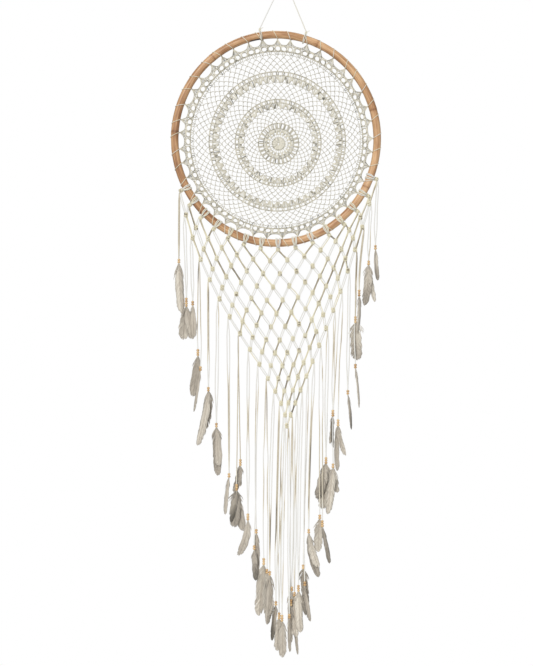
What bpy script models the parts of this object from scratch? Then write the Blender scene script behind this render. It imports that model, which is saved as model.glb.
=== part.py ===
"""Macrame dream catcher that hangs from a cord loop.

An oval rattan hoop holds a crocheted web, laced to it all round. A knotted V-shaped net hangs from the hoop's
lower arc on fifteen lark's head knots. Doubled cords hang from the net's two edges, and each ends in wooden beads
and feathers.

Metres, +Z up, -Y towards the viewer. The origin is the inside top of the hanging loop, where a nail bears.
"""

import math

import bmesh
import bpy
from mathutils import Matrix, Vector

# Driving dimensions, in metres
RATTAN_RADIUS = 0.011
HOOP_HALF_WIDTH = 0.289  # to the middle of the rattan
HOOP_HALF_HEIGHT = 0.2975
HOOP_CENTRE = Vector((-0.023, 0.0, -0.495))
CORD_RADIUS = 0.0015
TOUCH_GAP = 0.0003

EYE_HALF_WIDTH = 0.0085  # the hanging loop's cord, to its middle
EYE_HALF_HEIGHT = 0.013
EYE_KNOT_RADIUS = 0.006
EYE_KNOT_DROP = 0.004  # from the eye's lowest point to the middle of its knot
TIE_ANGLES = {"left": -171.4, "right": 163.8}  # where the hanger is tied, degrees from straight down
TIE_RING_RADIUS = 0.0162
TIE_KNOT_RADIUS = 0.0045
TIE_KNOT_LIFT = 0.0033
TIE_CORD_RADIUS = 0.0012
HANGER_BEND = 0.004

WEB_MARGIN = 0.0172  # from the middle of the rattan to the web's outer round
WEB_ROUNDS = (0.07, 0.22, 0.44, 0.66, 0.84, 1.0)  # shares of the web's size
WEB_SPOKES = 20
WEB_TURN = 14.2  # degrees, keeps the spokes' ends away from the two ties
WEB_THICKNESS = 0.003
WEB_HEART_RADIUS = 0.021
WEB_HEART_THICKNESS = 0.0024
LACING_RADIUS = 0.0009
LACING_OFFSET = 0.0132  # from the middle of the rattan to the middle of the lacing
LACING_TURNS = 25
LACING_STEPS = 8  # points in a turn

HEADS = 15  # lark's head knots on the hoop
FIRST_HEAD = -62.0  # degrees from straight down, positive towards +X
HEAD_STEP = 9.33
HEAD_BOW = 2.2  # degrees that the middle heads lie towards -X from an even spacing
HEAD_DROP = 0.018  # from the middle of the rattan to the first row of net knots
HEAD_INNER_RADIUS = 0.0129
HEAD_OUTER_RADIUS = 0.0148
HEAD_WIDTH = 0.010
HEAD_KNOT_RADIUS = 0.0045
NET_THICKNESS = 0.004
NET_CORD_HALF_WIDTH = 0.0025  # two cords side by side
KNOT_REACH = 0.011  # how far a knot fills the corners of the cells round it
LONGEST_REACH = 0.4  # and the most of a cell's side that it fills
NET_TIP = Vector((0.008, 0.0, -1.314))
NET_PULL = Vector((-0.006, 0.0, 0.018))  # how far the middle of the sheet is drawn up and aside
NET_SKEW = 0.015  # how much further it is drawn up on its +X side
NET_FULLNESS = 0.7  # below 1, the drawn-up part reaches closer to the edges
LEFT_EDGE = (Vector((-0.240, 0.0, -0.975)), Vector((0.0, 0.0, -1.175)))  # Bezier handles
RIGHT_EDGE = (Vector((0.055, 0.0, -1.175)), Vector((0.175, 0.0, -0.945)))
CURTAIN_TOP = -0.847  # the net bends along this level
CURTAIN_LEFT, CURTAIN_RIGHT = -0.0868, 0.053  # its three middle lark's heads lie between these
CURTAIN_HEADS = range(6, 9)
CUT_GAP = 0.0016

STRAND_RADIUS = 0.0025  # a doubled cord
STRAND_STEPS = 4
KNOT_CLEARANCE = 0.0085  # a strand starts this far under its knot
KNOT_OFFSET = 0.0048  # and this far outside it
BEAD_RADIUS = 0.0036
BEAD_HEIGHT = 0.0062
BEAD_STEPS = 8
BEAD_WAIST = 0.55  # a bead's end as a share of its full radius
QUILL_HALF_WIDTH = 0.0012
FEATHER_THICKNESS = 0.0012
FEATHER_CAMBER = 0.12  # depth of the blade's hollow as a share of its half width

# Each hanging strand, from the outside in: length from its knot to its beads, sideways drift of its lower end,
# number of beads, and its feathers as (length, width, lean, twist, bend). Lean is degrees away from the middle,
# twist turns the blade about its own length, and bend is how far the tip curves away from the middle.
STRANDS = {
    "left": (
        (0.186, -0.003, 2, ((0.145, 0.028, 3, 15, 0.004),)),
        (0.232, 0.006, 3, ((0.105, 0.022, 8, 25, 0.004),)),
        (0.172, 0.009, 2, ((0.095, 0.018, -3, 35, 0.002),)),
        (0.248, -0.003, 3, ((0.125, 0.027, 4, 10, 0.007),)),
        (0.300, -0.003, 2, ((0.140, 0.027, 2, 15, 0.014),)),
        (0.346, -0.004, 2, ((0.135, 0.026, 1, 20, 0.003),)),
        (0.438, 0.003, 2, ((0.105, 0.020, 3, 40, 0.004),)),
        (0.405, -0.001, 3, ((0.140, 0.030, 3, 10, 0.006),)),
        (0.462, -0.001, 2, ((0.100, 0.024, 5, 15, 0.015),)),
        (0.472, -0.006, 2, ((0.120, 0.020, 2, 30, 0.006),)),
    ),
    "right": (
        (0.180, -0.007, 2, ((0.085, 0.015, 2, 30, 0.004),)),
        (0.154, -0.007, 2, ((0.115, 0.022, 3, 35, 0.006),)),
        (0.176, -0.013, 3, ((0.090, 0.018, 2, 60, 0.003),)),
        (0.182, -0.002, 3, ((0.105, 0.024, 2, 20, 0.002),)),
        (0.332, -0.005, 2, ((0.095, 0.016, 3, 60, 0.006),)),
        (0.358, -0.010, 3, ((0.105, 0.018, 2, 40, 0.004),)),
        (0.280, -0.002, 3, ((0.110, 0.020, 0, 55, 0.002),)),
        (0.360, 0.004, 3, ((0.130, 0.026, 0, 12, 0.000),)),
        (0.498, 0.004, 3, ((0.105, 0.024, 2, 20, 0.004),)),
        (0.470, -0.012, 2, ((0.118, 0.024, 7, 15, 0.006),)),
    ),
}
# The ten innermost doubled cords hang two by two. Each bundle is (place of its top, length, drift, beads, feathers).
BUNDLES = (
    ((-0.034, -1.221), 0.480, -0.010, 3, ((0.140, 0.030, 4, 10, 0.004),)),
    ((-0.008, -1.293), 0.552, -0.004, 3, ((0.105, 0.020, 8, 20, 0.003),)),
    ((0.008, -1.326), 0.526, -0.004, 3, ((0.105, 0.016, 0, 25, 0.000),)),
    ((0.024, -1.287), 0.500, -0.004, 3, ((0.125, 0.020, 3, 20, 0.003),)),
    ((0.056, -1.213), 0.505, -0.010, 3, ((0.120, 0.026, 3, 15, 0.005),)),
)
BLADE_COLUMNS, BLADE_ROWS = 2, 5


def clear_scene():
    for obj in list(bpy.data.objects):
        bpy.data.objects.remove(obj)


def new_collection(name, parent):
    collection = bpy.data.collections.new(name)
    parent.children.link(collection)
    return collection


def new_material(name, colour, roughness):
    material = bpy.data.materials.new(name)
    material.use_nodes = True
    shader = material.node_tree.nodes["Principled BSDF"]
    shader.inputs["Base Color"].default_value = (*colour, 1.0)
    shader.inputs["Roughness"].default_value = roughness
    shader.inputs["Metallic"].default_value = 0.0
    return material


def place(name, data, collection, material=None):
    obj = bpy.data.objects.new(name, data)
    collection.objects.link(obj)
    if material:
        data.materials.append(material)
    return obj


def hide_helper(obj):
    obj.hide_render = True
    obj.display_type = "WIRE"


def tube(name, points, radius, collection, material, cyclic=False, resolution=2):
    """A cord along the points: a bevelled POLY curve with filled caps."""
    curve = bpy.data.curves.new(name, "CURVE")
    curve.dimensions = "3D"
    curve.bevel_depth = radius
    curve.bevel_resolution = resolution
    curve.use_fill_caps = not cyclic
    spline = curve.splines.new("POLY")
    spline.points.add(len(points) - 1)
    for spot, point in zip(spline.points, points):
        spot.co = (*point, 1.0)
    spline.use_cyclic_u = cyclic
    return place(name, curve, collection, material)


def as_mesh(obj):
    """Turns a curve object into a welded mesh object, so that a Boolean can read it."""
    graph = bpy.context.evaluated_depsgraph_get()
    mesh = bpy.data.meshes.new_from_object(obj.evaluated_get(graph))
    made = bmesh.new()
    made.from_mesh(mesh)
    bmesh.ops.remove_doubles(made, verts=made.verts, dist=0.00001)
    made.to_mesh(mesh)
    made.free()
    name, collection, matrix = obj.name, obj.users_collection[0], obj.matrix_world.copy()
    bpy.data.objects.remove(obj)
    changed = place(name, mesh, collection)
    changed.matrix_world = matrix
    return changed


def ball(name, centre, radius, collection):
    mesh = bpy.data.meshes.new(name)
    made = bmesh.new()
    bmesh.ops.create_uvsphere(made, u_segments=10, v_segments=6, radius=radius)
    made.to_mesh(mesh)
    made.free()
    obj = place(name, mesh, collection)
    obj.location = centre
    return obj


def hang(name, pivot, members, collection):
    """Parents the members to an empty on their joint's axis, and leaves them where they are."""
    empty = bpy.data.objects.new(f"pivot_{name}", None)
    empty.location = pivot
    collection.objects.link(empty)
    for member in members:
        member.parent = empty
        member.matrix_parent_inverse = Matrix.Translation(-pivot)


def union(obj, other):
    modifier = obj.modifiers.new("Joined", "BOOLEAN")
    modifier.operation = "UNION"
    if isinstance(other, bpy.types.Collection):
        modifier.operand_type = "COLLECTION"
        modifier.collection = other
    else:
        modifier.object = other


def hoop_frame(degrees):
    """The middle of the rattan at an angle from straight down, with the outward and the lengthwise direction."""
    angle = math.radians(degrees)
    offset = Vector((HOOP_HALF_WIDTH * math.sin(angle), 0.0, -HOOP_HALF_HEIGHT * math.cos(angle)))
    along = Vector((HOOP_HALF_WIDTH * math.cos(angle), 0.0, HOOP_HALF_HEIGHT * math.sin(angle))).normalized()
    outward = Vector((along.z, 0.0, -along.x))
    return HOOP_CENTRE + offset, outward, along


def hoop_angle_steps(count):
    return [360.0 * i / count for i in range(count)]


def make_hoop(collection, material):
    points = [hoop_frame(degrees)[0] for degrees in hoop_angle_steps(60)]
    return tube("hoop", points, RATTAN_RADIUS, collection, material, cyclic=True, resolution=3)


def make_hanging_loop(collection, cutters, material):
    """The knotted eye that goes over a nail. Its cord's inside top is the origin."""
    middle = CORD_RADIUS - EYE_HALF_HEIGHT
    points = []
    for degrees in hoop_angle_steps(16):
        angle = math.radians(degrees)
        points.append(Vector((EYE_HALF_WIDTH * math.sin(angle), 0.0, middle - EYE_HALF_HEIGHT * math.cos(angle))))
    eye = as_mesh(tube("hanging_loop", points, CORD_RADIUS, collection, material, cyclic=True))
    knot = ball("eye_knot", eye_knot_centre(), EYE_KNOT_RADIUS, cutters)
    hide_helper(knot)
    union(eye, knot)
    eye.data.materials.append(material)
    return eye


def eye_knot_centre():
    return Vector((0.0, 0.0, CORD_RADIUS - 2 * EYE_HALF_HEIGHT - EYE_KNOT_DROP))


def hanger_top():
    """Where the hanger cord leaves the eye's knot."""
    return eye_knot_centre() - Vector((0.0, 0.0, EYE_KNOT_RADIUS + CORD_RADIUS + 2 * TOUCH_GAP))


def tie_knot_centre(side):
    middle, outward, _ = hoop_frame(TIE_ANGLES[side])
    return middle + outward * (TIE_RING_RADIUS + TIE_KNOT_LIFT)


def leg_end(side):
    """The lower end of one leg of the hanger cord, just over its tie's knot."""
    knot = tie_knot_centre(side)
    return knot + (hanger_top() - knot).normalized() * (TIE_KNOT_RADIUS + 2 * TOUCH_GAP)


def tilt_pivot():
    """The hoop tilts about a line along X between the lower ends of the two legs."""
    return (leg_end("left") + leg_end("right")) / 2


def make_hanger_cord(collection, material):
    """One cord from tie to tie, bent over just under the eye's knot."""
    top = hanger_top()
    ends = {side: leg_end(side) for side in TIE_ANGLES}
    shoulders = {side: top + (ends[side] - top).normalized() * HANGER_BEND for side in ends}
    middle = top - Vector((0.0, 0.0, HANGER_BEND / 4))
    points = [ends["left"], shoulders["left"], middle, shoulders["right"], ends["right"]]
    return tube("hanger_cord", points, CORD_RADIUS, collection, material)


def ring_around_rattan(name, degrees, radius, thickness, collection):
    """A closed cord ring around the rattan at that angle, lying square to it."""
    middle, outward, _ = hoop_frame(degrees)
    across = Vector((0.0, 1.0, 0.0))
    points = []
    for turn in hoop_angle_steps(12):
        angle = math.radians(turn)
        points.append(middle + (outward * math.cos(angle) + across * math.sin(angle)) * radius)
    return tube(name, points, thickness, collection, None, cyclic=True)


def make_ties(collection, cutters, material):
    ties = []
    for side, degrees in TIE_ANGLES.items():
        name = f"hanger_tie_{side}"
        ring = as_mesh(ring_around_rattan(name, degrees, TIE_RING_RADIUS, TIE_CORD_RADIUS, collection))
        knot = ball(f"tie_knot_{side}", tie_knot_centre(side), TIE_KNOT_RADIUS, cutters)
        hide_helper(knot)
        union(ring, knot)
        ring.data.materials.append(material)
        ties.append(ring)
    return ties


def make_lacing(collection, material):
    """The thread that wraps the rattan once for each point of the web, over the arc that the net leaves free."""
    start, end = head_angle(HEADS - 1) + HEAD_STEP / 2, head_angle(0) - HEAD_STEP / 2 + 360.0
    points = []
    for step in range(LACING_TURNS * LACING_STEPS + 1):
        share = step / (LACING_TURNS * LACING_STEPS)
        middle, outward, _ = hoop_frame(start + (end - start) * share)
        angle = 2 * math.pi * step / LACING_STEPS
        radial = outward * math.cos(angle) + Vector((0.0, 1.0, 0.0)) * math.sin(angle)
        points.append(middle + radial * LACING_OFFSET)
    return tube("web_lacing", points, LACING_RADIUS, collection, material, resolution=0)


def lattice(name, points, faces, thickness, collection, material):
    """A flat net: each edge between the points becomes a strut."""
    mesh = bpy.data.meshes.new(name)
    mesh.from_pydata([tuple(point) for point in points], [], faces)
    obj = place(name, mesh, collection, material)
    wires = obj.modifiers.new("Struts", "WIREFRAME")
    wires.thickness = thickness
    wires.use_even_offset = False
    wires.use_boundary = True
    wires.use_replace = True
    return obj


def make_web(collection, cutters, material):
    half_width = HOOP_HALF_WIDTH - WEB_MARGIN
    half_height = HOOP_HALF_HEIGHT - WEB_MARGIN
    points = []
    for share in WEB_ROUNDS:
        for degrees in hoop_angle_steps(WEB_SPOKES):
            angle = math.radians(degrees + WEB_TURN)
            offset = Vector((half_width * math.sin(angle), 0.0, -half_height * math.cos(angle)))
            points.append(HOOP_CENTRE + offset * share)
    faces = []
    for ring in range(len(WEB_ROUNDS) - 1):
        for spoke in range(WEB_SPOKES):
            following = (spoke + 1) % WEB_SPOKES
            inner, outer = ring * WEB_SPOKES, (ring + 1) * WEB_SPOKES
            faces.append((inner + spoke, inner + following, outer + following, outer + spoke))
    web = lattice("crochet_web", points, faces, WEB_THICKNESS, collection, material)
    mesh = bpy.data.meshes.new("web_heart")
    made = bmesh.new()
    bmesh.ops.create_cone(
        made,
        cap_ends=True,
        segments=WEB_SPOKES,
        radius1=WEB_HEART_RADIUS,
        radius2=WEB_HEART_RADIUS,
        depth=WEB_HEART_THICKNESS,
    )
    made.to_mesh(mesh)
    made.free()
    heart = place("web_heart", mesh, cutters)
    heart.location = HOOP_CENTRE
    heart.rotation_euler = (math.radians(90), 0.0, 0.0)
    hide_helper(heart)
    union(web, heart)
    return web


def head_angle(index):
    return FIRST_HEAD + HEAD_STEP * index - HEAD_BOW * math.sin(math.pi * index / (HEADS - 1))


def bezier(start, handles, end, share):
    first, second = handles
    rest = 1.0 - share
    return (
        start * rest**3
        + first * (3 * rest**2 * share)
        + second * (3 * rest * share**2)
        + end * share**3
    )


def top_knot(index):
    middle, outward, _ = hoop_frame(head_angle(index))
    return middle + outward * HEAD_DROP


def net_knot(row, column):
    """A knot of the net. Row 0 is on the hoop, and the last row is the single knot at the tip.

    The diagonals that start at the two ends of row 0 are the net's edges, and every other knot lies where the
    sheet between those edges and row 0 puts it. The middle of the sheet is drawn up from there.
    """
    last = HEADS - 1
    left, right = column, column + row  # where its two diagonals start in row 0

    def on_left_edge(index):
        return bezier(top_knot(0), LEFT_EDGE, NET_TIP, index / last)

    def on_right_edge(index):
        return bezier(NET_TIP, RIGHT_EDGE, top_knot(last), index / last)

    def misfit(index):
        return top_knot(index) - (on_left_edge(index) + on_right_edge(index) - NET_TIP)

    spot = on_left_edge(right) + on_right_edge(left) - NET_TIP
    if row == 0:
        return spot + misfit(column)
    share_left = 1.0 - row / (last - left) if left < last else 0.0
    share_right = 1.0 - row / right
    inside = (left * row * (last - right) / (last / 3) ** 3) ** NET_FULLNESS  # 0 on the edges, 1 in the middle
    pull = NET_PULL + Vector((0.0, 0.0, NET_SKEW * (left + right - last) / last))
    return spot + (misfit(left) * share_left + misfit(right) * share_right) / 2 + pull * inside


def beside(path, offset, tips=()):
    """The closed path moved sideways, to the left where the offset is positive.

    Each corner is filled by a knot, and only a corner at one of the tips keeps its full length.
    """
    moved = []
    for index, corner in enumerate(path):
        arriving = corner - path[index - 1]
        leaving = path[(index + 1) % len(path)] - corner
        longest = LONGEST_REACH * min(arriving.length, leaving.length)
        arriving.normalize()
        leaving.normalize()
        half_angle = (math.pi - arriving.angle(leaving)) / 2
        reach = max(min(KNOT_REACH, longest), 1.1 * abs(offset) / math.tan(half_angle))
        if tuple(corner) in tips:
            reach = 0.0
        for way, distance in ((arriving, -reach), (leaving, reach)):
            side = Vector((-way.z, 0.0, way.x))
            moved.append(corner + way * distance + side * offset)
    return moved


def net_outline():
    """The outer outline: up the right edge, back over the lark's heads and down the left edge."""
    last = HEADS - 1
    path = [net_knot(row, last - row) for row in range(last, 0, -1)]
    for column in range(last, 0, -1):
        path += [net_knot(0, column), net_knot(1, column - 1)]
    path += [net_knot(row, 0) for row in range(last)]
    heads = {tuple(net_knot(0, column)) for column in range(HEADS)}
    return beside(path, -NET_CORD_HALF_WIDTH, heads)


def net_cells():
    """The opening inside each cell of the net."""
    cells = []
    for row in range(HEADS - 2):
        for column in range(1, HEADS - row - 1):
            corners = ((row, column), (row + 1, column - 1), (row + 2, column - 1), (row + 1, column))
            cells.append(beside([net_knot(*corner) for corner in corners], NET_CORD_HALF_WIDTH))
    return cells


def flat_plate(name, loops, thickness, collection):
    """An upright plate with the loops' outlines, and with the loops inside them as openings."""
    curve = bpy.data.curves.new(name, "CURVE")
    curve.dimensions = "2D"
    curve.fill_mode = "BOTH"
    curve.extrude = thickness / 2
    for loop in loops:
        spline = curve.splines.new("POLY")
        spline.points.add(len(loop) - 1)
        for spot, point in zip(spline.points, loop):
            spot.co = (point.x, point.z, 0.0, 1.0)
        spline.use_cyclic_u = True
    obj = place(name, curve, collection)
    obj.rotation_euler = (math.radians(90), 0.0, 0.0)
    return as_mesh(obj)


def lark_head(index, collection):
    """The loop of one lark's head: a short sleeve round the rattan."""
    middle, _, along = hoop_frame(head_angle(index))
    mesh = bpy.data.meshes.new(f"head_{index}")
    made = bmesh.new()
    bmesh.ops.create_cone(
        made,
        cap_ends=False,
        segments=10,
        radius1=HEAD_OUTER_RADIUS,
        radius2=HEAD_OUTER_RADIUS,
        depth=HEAD_WIDTH,
    )
    bmesh.ops.recalc_face_normals(made, faces=made.faces)
    made.to_mesh(mesh)
    made.free()
    obj = place(f"head_{index}", mesh, collection)
    obj.rotation_mode = "QUATERNION"
    obj.rotation_quaternion = along.to_track_quat("Z", "Y")
    obj.location = middle
    sleeve = obj.modifiers.new("Cord", "SOLIDIFY")
    sleeve.thickness = HEAD_OUTER_RADIUS - HEAD_INNER_RADIUS
    sleeve.offset = -1.0
    hide_helper(obj)
    knot = ball(f"head_knot_{index}", top_knot(index), HEAD_KNOT_RADIUS, collection)
    hide_helper(knot)


def curtain_pivot():
    """The curtain's lark's heads turn on the rattan, about a line along X midway between their heights."""
    heights = [hoop_frame(head_angle(index))[0].z for index in CURTAIN_HEADS]
    return Vector((HOOP_CENTRE.x, 0.0, (min(heights) + max(heights)) / 2))


def box_cutter(name, low, high, collection):
    mesh = bpy.data.meshes.new(name)
    made = bmesh.new()
    bmesh.ops.create_cube(made, size=1.0)
    size = Vector(high) - Vector(low)
    bmesh.ops.scale(made, vec=size, verts=made.verts)
    made.to_mesh(mesh)
    made.free()
    obj = place(name, mesh, collection)
    obj.location = (Vector(low) + Vector(high)) / 2
    hide_helper(obj)
    return obj


def make_net(collection, cutters, material):
    """The net in three pieces, which meet along the level where it bends."""
    loops = [net_outline(), *net_cells()]
    depth, far = 0.05, 0.5
    top = HOOP_CENTRE.z
    upper = CURTAIN_TOP + CUT_GAP
    sides = {
        "left": ((-far, -depth, upper), (CURTAIN_LEFT, depth, top)),
        "right": ((CURTAIN_RIGHT, -depth, upper), (far, depth, top)),
    }
    first, last = CURTAIN_HEADS[0], CURTAIN_HEADS[-1]
    heads = {"left": range(first), "curtain": CURTAIN_HEADS, "right": range(last + 1, HEADS)}
    groups = {}
    for part, indices in heads.items():
        groups[part] = new_collection(f"lark_heads_{part}", cutters)
        for index in indices:
            lark_head(index, groups[part])
    wings = []
    for side, (low, high) in sides.items():
        wing = flat_plate(f"net_wing_{side}", loops, NET_THICKNESS, collection)
        keep = wing.modifiers.new("Kept", "BOOLEAN")
        keep.operation = "INTERSECT"
        keep.object = box_cutter(f"keep_{side}", low, high, cutters)
        union(wing, groups[side])
        wing.data.materials.append(material)
        wings.append(wing)
    curtain = flat_plate("net_curtain", loops, NET_THICKNESS, collection)
    for side, (low, high) in sides.items():
        low, high = list(low), list(high)
        low[2] = CURTAIN_TOP
        if side == "left":
            high[0] += CUT_GAP
        else:
            low[0] -= CUT_GAP
        cut = curtain.modifiers.new(f"Cut {side}", "BOOLEAN")
        cut.operation = "DIFFERENCE"
        cut.object = box_cutter(f"cut_{side}", low, high, cutters)
    union(curtain, groups["curtain"])
    curtain.data.materials.append(material)
    return wings, curtain


def bead_profile(count):
    """Half the outline of a stack of round beads, from its top down."""
    steps = 3
    outline = [Vector((0.0, 0.0, 0.0))]
    for bead in range(count):
        top = -bead * BEAD_HEIGHT
        for step in range(steps):
            share = (step + 0.5) / steps
            bulge = math.sin(math.pi * share)
            radius = BEAD_RADIUS * (BEAD_WAIST + (1.0 - BEAD_WAIST) * bulge)
            outline.append(Vector((radius, 0.0, top - BEAD_HEIGHT * share)))
    outline.append(Vector((0.0, 0.0, -count * BEAD_HEIGHT)))
    return outline


def bead_stack(name, spot, count, collection, material):
    outline = bead_profile(count)
    mesh = bpy.data.meshes.new(name)
    mesh.from_pydata([tuple(point) for point in outline], [(i, i + 1) for i in range(len(outline) - 1)], [])
    obj = place(name, mesh, collection, material)
    obj.location = spot
    turn = obj.modifiers.new("Turned", "SCREW")
    turn.axis = "Z"
    turn.steps = turn.render_steps = BEAD_STEPS
    turn.use_merge_vertices = True
    turn.merge_threshold = 0.0001
    return obj


def feather_half_width(share, width):
    """Half the blade's width at a share of its length: a quill, a full middle and a rounded tip."""
    quill_end = 0.14
    if share < quill_end:
        return QUILL_HALF_WIDTH
    along = (share - quill_end) / (1.0 - quill_end)
    full = math.sin(math.pi * min(1.0, 0.12 + 0.80 * along)) ** 0.6
    return QUILL_HALF_WIDTH + (width / 2 - QUILL_HALF_WIDTH) * full


def feather_blade(name, root, feather, outside, collection):
    """One feather, hanging from its root. Outside is -1 or +1, the side that it leans and bends to."""
    length, width, lean, twist, bend = feather
    mesh = bpy.data.meshes.new(name)
    made = bmesh.new()
    bmesh.ops.create_grid(made, x_segments=BLADE_COLUMNS, y_segments=BLADE_ROWS, size=1.0)
    for corner in made.verts:
        across, share = corner.co.x, (1.0 - corner.co.y) / 2
        half = feather_half_width(share, width)
        camber = FEATHER_CAMBER * half * across**2
        corner.co = Vector((across * half + outside * bend * share**2, camber, -length * share))
    bmesh.ops.recalc_face_normals(made, faces=made.faces)
    made.to_mesh(mesh)
    made.free()
    obj = place(name, mesh, collection)
    turned = Matrix.Rotation(math.radians(twist), 4, "Z")
    leaning = Matrix.Rotation(math.radians(-outside * lean), 4, "Y")
    obj.matrix_world = Matrix.Translation(root) @ leaning @ turned
    skin = obj.modifiers.new("Thick", "SOLIDIFY")
    skin.thickness = FEATHER_THICKNESS
    skin.offset = 0.0
    hide_helper(obj)
    return obj


def strand_route(top, length, drift):
    """Points down the middle of a hanging cord. Most of the drift is in its upper half."""
    points = []
    for step in range(STRAND_STEPS + 1):
        share = step / STRAND_STEPS
        sideways = drift * math.sin(math.pi / 2 * share)
        points.append(Vector((top.x + sideways, 0.0, top.z - length * share)))
    return points


def make_strand(label, top, length, drift, beads, feathers, outside, collection, cutters, materials):
    """A doubled cord that hangs from the net, and the beads and feathers on its end."""
    route = strand_route(top, length, drift)
    cord = tube(f"cord_{label}", route, STRAND_RADIUS, collection, materials["cotton"])
    spot = route[-1] - Vector((0.0, 0.0, TOUCH_GAP))
    stack = bead_stack(f"feathers_{label}", spot, beads, collection, materials["feather"])
    blades = new_collection(f"blades_{label}", cutters)
    root = spot - Vector((0.0, 0.0, beads * BEAD_HEIGHT - 0.003))
    for number, feather in enumerate(feathers):
        feather_blade(f"blade_{label}_{number}", root, feather, outside, blades)
    union(stack, blades)
    hang(label, top, (cord, stack), collection)


def make_strands(collection, cutters, materials):
    for side, outside in (("left", -1), ("right", 1)):
        for number, (length, drift, beads, feathers) in enumerate(STRANDS[side]):
            column = 0 if side == "left" else HEADS - 1 - number
            knot = net_knot(number, column)
            top = knot + Vector((outside * KNOT_OFFSET, 0.0, -KNOT_CLEARANCE))
            label = f"{side}_{number + 1:02d}"
            make_strand(label, top, length, drift, beads, feathers, outside, collection, cutters, materials)
    for number, ((x, z), length, drift, beads, feathers) in enumerate(BUNDLES):
        outside = -1 if number < 2 else 1
        top = Vector((x, 0.0, z))
        label = f"centre_{number + 1}"
        make_strand(label, top, length, drift, beads, feathers, outside, collection, cutters, materials)


def main():
    clear_scene()
    scene_root = bpy.context.scene.collection
    parts = new_collection("dream_catcher", scene_root)
    cutters = new_collection("cutters", scene_root)
    materials = {
        "rattan": new_material("rattan", (0.52, 0.30, 0.15), 0.45),
        "cotton": new_material("cotton", (0.80, 0.76, 0.65), 0.9),
        "feather": new_material("feather", (0.45, 0.41, 0.36), 0.7),
    }
    cotton = materials["cotton"]
    make_hanging_loop(parts, cutters, cotton)
    hang("hanger", hanger_top(), [make_hanger_cord(parts, cotton)], parts)
    hoop = make_hoop(parts, materials["rattan"])
    wings, curtain = make_net(parts, cutters, cotton)
    web, lacing = make_web(parts, cutters, cotton), make_lacing(parts, cotton)
    hang("hoop", tilt_pivot(), [hoop, web, lacing, *make_ties(parts, cutters, cotton), *wings], parts)
    hang("curtain", curtain_pivot(), [curtain], parts)
    make_strands(parts, cutters, materials)


main()
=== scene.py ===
"""Looks of the macrame dream catcher: real cords, crochet, knots, beads and feathers over the CAD frame."""

import math

import bpy
import numpy as np
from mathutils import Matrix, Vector


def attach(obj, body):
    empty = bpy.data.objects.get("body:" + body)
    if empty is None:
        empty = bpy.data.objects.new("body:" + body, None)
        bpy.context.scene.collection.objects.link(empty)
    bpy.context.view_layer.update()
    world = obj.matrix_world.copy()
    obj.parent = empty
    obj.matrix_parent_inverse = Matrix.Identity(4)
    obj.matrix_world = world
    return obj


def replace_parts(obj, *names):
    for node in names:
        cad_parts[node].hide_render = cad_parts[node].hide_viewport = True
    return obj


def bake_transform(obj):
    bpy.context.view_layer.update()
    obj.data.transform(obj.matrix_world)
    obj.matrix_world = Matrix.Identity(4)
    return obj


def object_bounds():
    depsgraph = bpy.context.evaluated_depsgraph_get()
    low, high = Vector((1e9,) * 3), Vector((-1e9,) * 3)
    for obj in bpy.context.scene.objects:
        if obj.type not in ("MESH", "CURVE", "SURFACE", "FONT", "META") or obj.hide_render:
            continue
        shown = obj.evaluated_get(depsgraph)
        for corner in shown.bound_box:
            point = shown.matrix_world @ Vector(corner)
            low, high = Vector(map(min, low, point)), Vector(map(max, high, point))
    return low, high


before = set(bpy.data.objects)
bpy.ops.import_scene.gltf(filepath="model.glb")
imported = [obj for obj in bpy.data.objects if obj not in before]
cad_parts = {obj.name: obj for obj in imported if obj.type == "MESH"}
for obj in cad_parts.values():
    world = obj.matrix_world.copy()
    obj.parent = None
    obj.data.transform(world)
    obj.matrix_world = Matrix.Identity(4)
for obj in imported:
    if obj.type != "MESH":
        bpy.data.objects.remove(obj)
cad_low, cad_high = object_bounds()

# The frame's dimensions, in metres, as the CAD source has them
RATTAN_RADIUS = 0.011
HOOP_HALF_WIDTH, HOOP_HALF_HEIGHT = 0.289, 0.2975
HOOP_CENTRE = np.array([-0.023, 0.0, -0.495])
TIE_ANGLES = {"left": -171.4, "right": 163.8}
HEADS, HEAD_DROP = 15, 0.018  # the lark's heads on the rattan, and how far out their first knots hang
FIRST_HEAD, HEAD_STEP, HEAD_BOW = -62.0, 9.33, 2.2  # degrees
CURTAIN_HEADS = range(6, 9)  # the heads that turn with the curtain
NET_TIP = np.array([0.008, 0.0, -1.314])
NET_PULL, NET_SKEW, NET_FULLNESS = np.array([-0.006, 0.0, 0.018]), 0.015, 0.7
LEFT_EDGE = (np.array([-0.240, 0.0, -0.975]), np.array([0.0, 0.0, -1.175]))
RIGHT_EDGE = (np.array([0.055, 0.0, -1.175]), np.array([0.175, 0.0, -0.945]))
KNOT_CLEARANCE, KNOT_OFFSET = 0.0085, 0.0048

# The radii of the cords, and the beads on them
NET_CORD = 0.00135
STRAND_CORD = 0.00145
WEB_THREAD = 0.00070
LACE_THREAD = 0.00095
HANGER_CORD = 0.0014
PLY_TURN = 0.0095  # length of one turn of a cord's plies
BEAD_RADIUS, BEAD_HEIGHT = 0.0042, 0.0066

LEFT, RIGHT = -1, 1
Y, Z = np.array([0.0, 1.0, 0.0]), np.array([0.0, 0.0, 1.0])
WRAP = np.radians(np.arange(0.0, 360.0, 9.0))  # the stations of one turn of cord round the rattan
dice = np.random.default_rng(417)


def unit(vectors):
    return vectors / np.maximum(np.linalg.norm(vectors, axis=-1, keepdims=True), 1e-12)


def smooth(share):
    share = np.clip(share, 0.0, 1.0)
    return share * share * (3 - 2 * share)


def circle(count):
    """Evenly spaced angles, once round."""
    return np.arange(count) * 2 * np.pi / count


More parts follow.
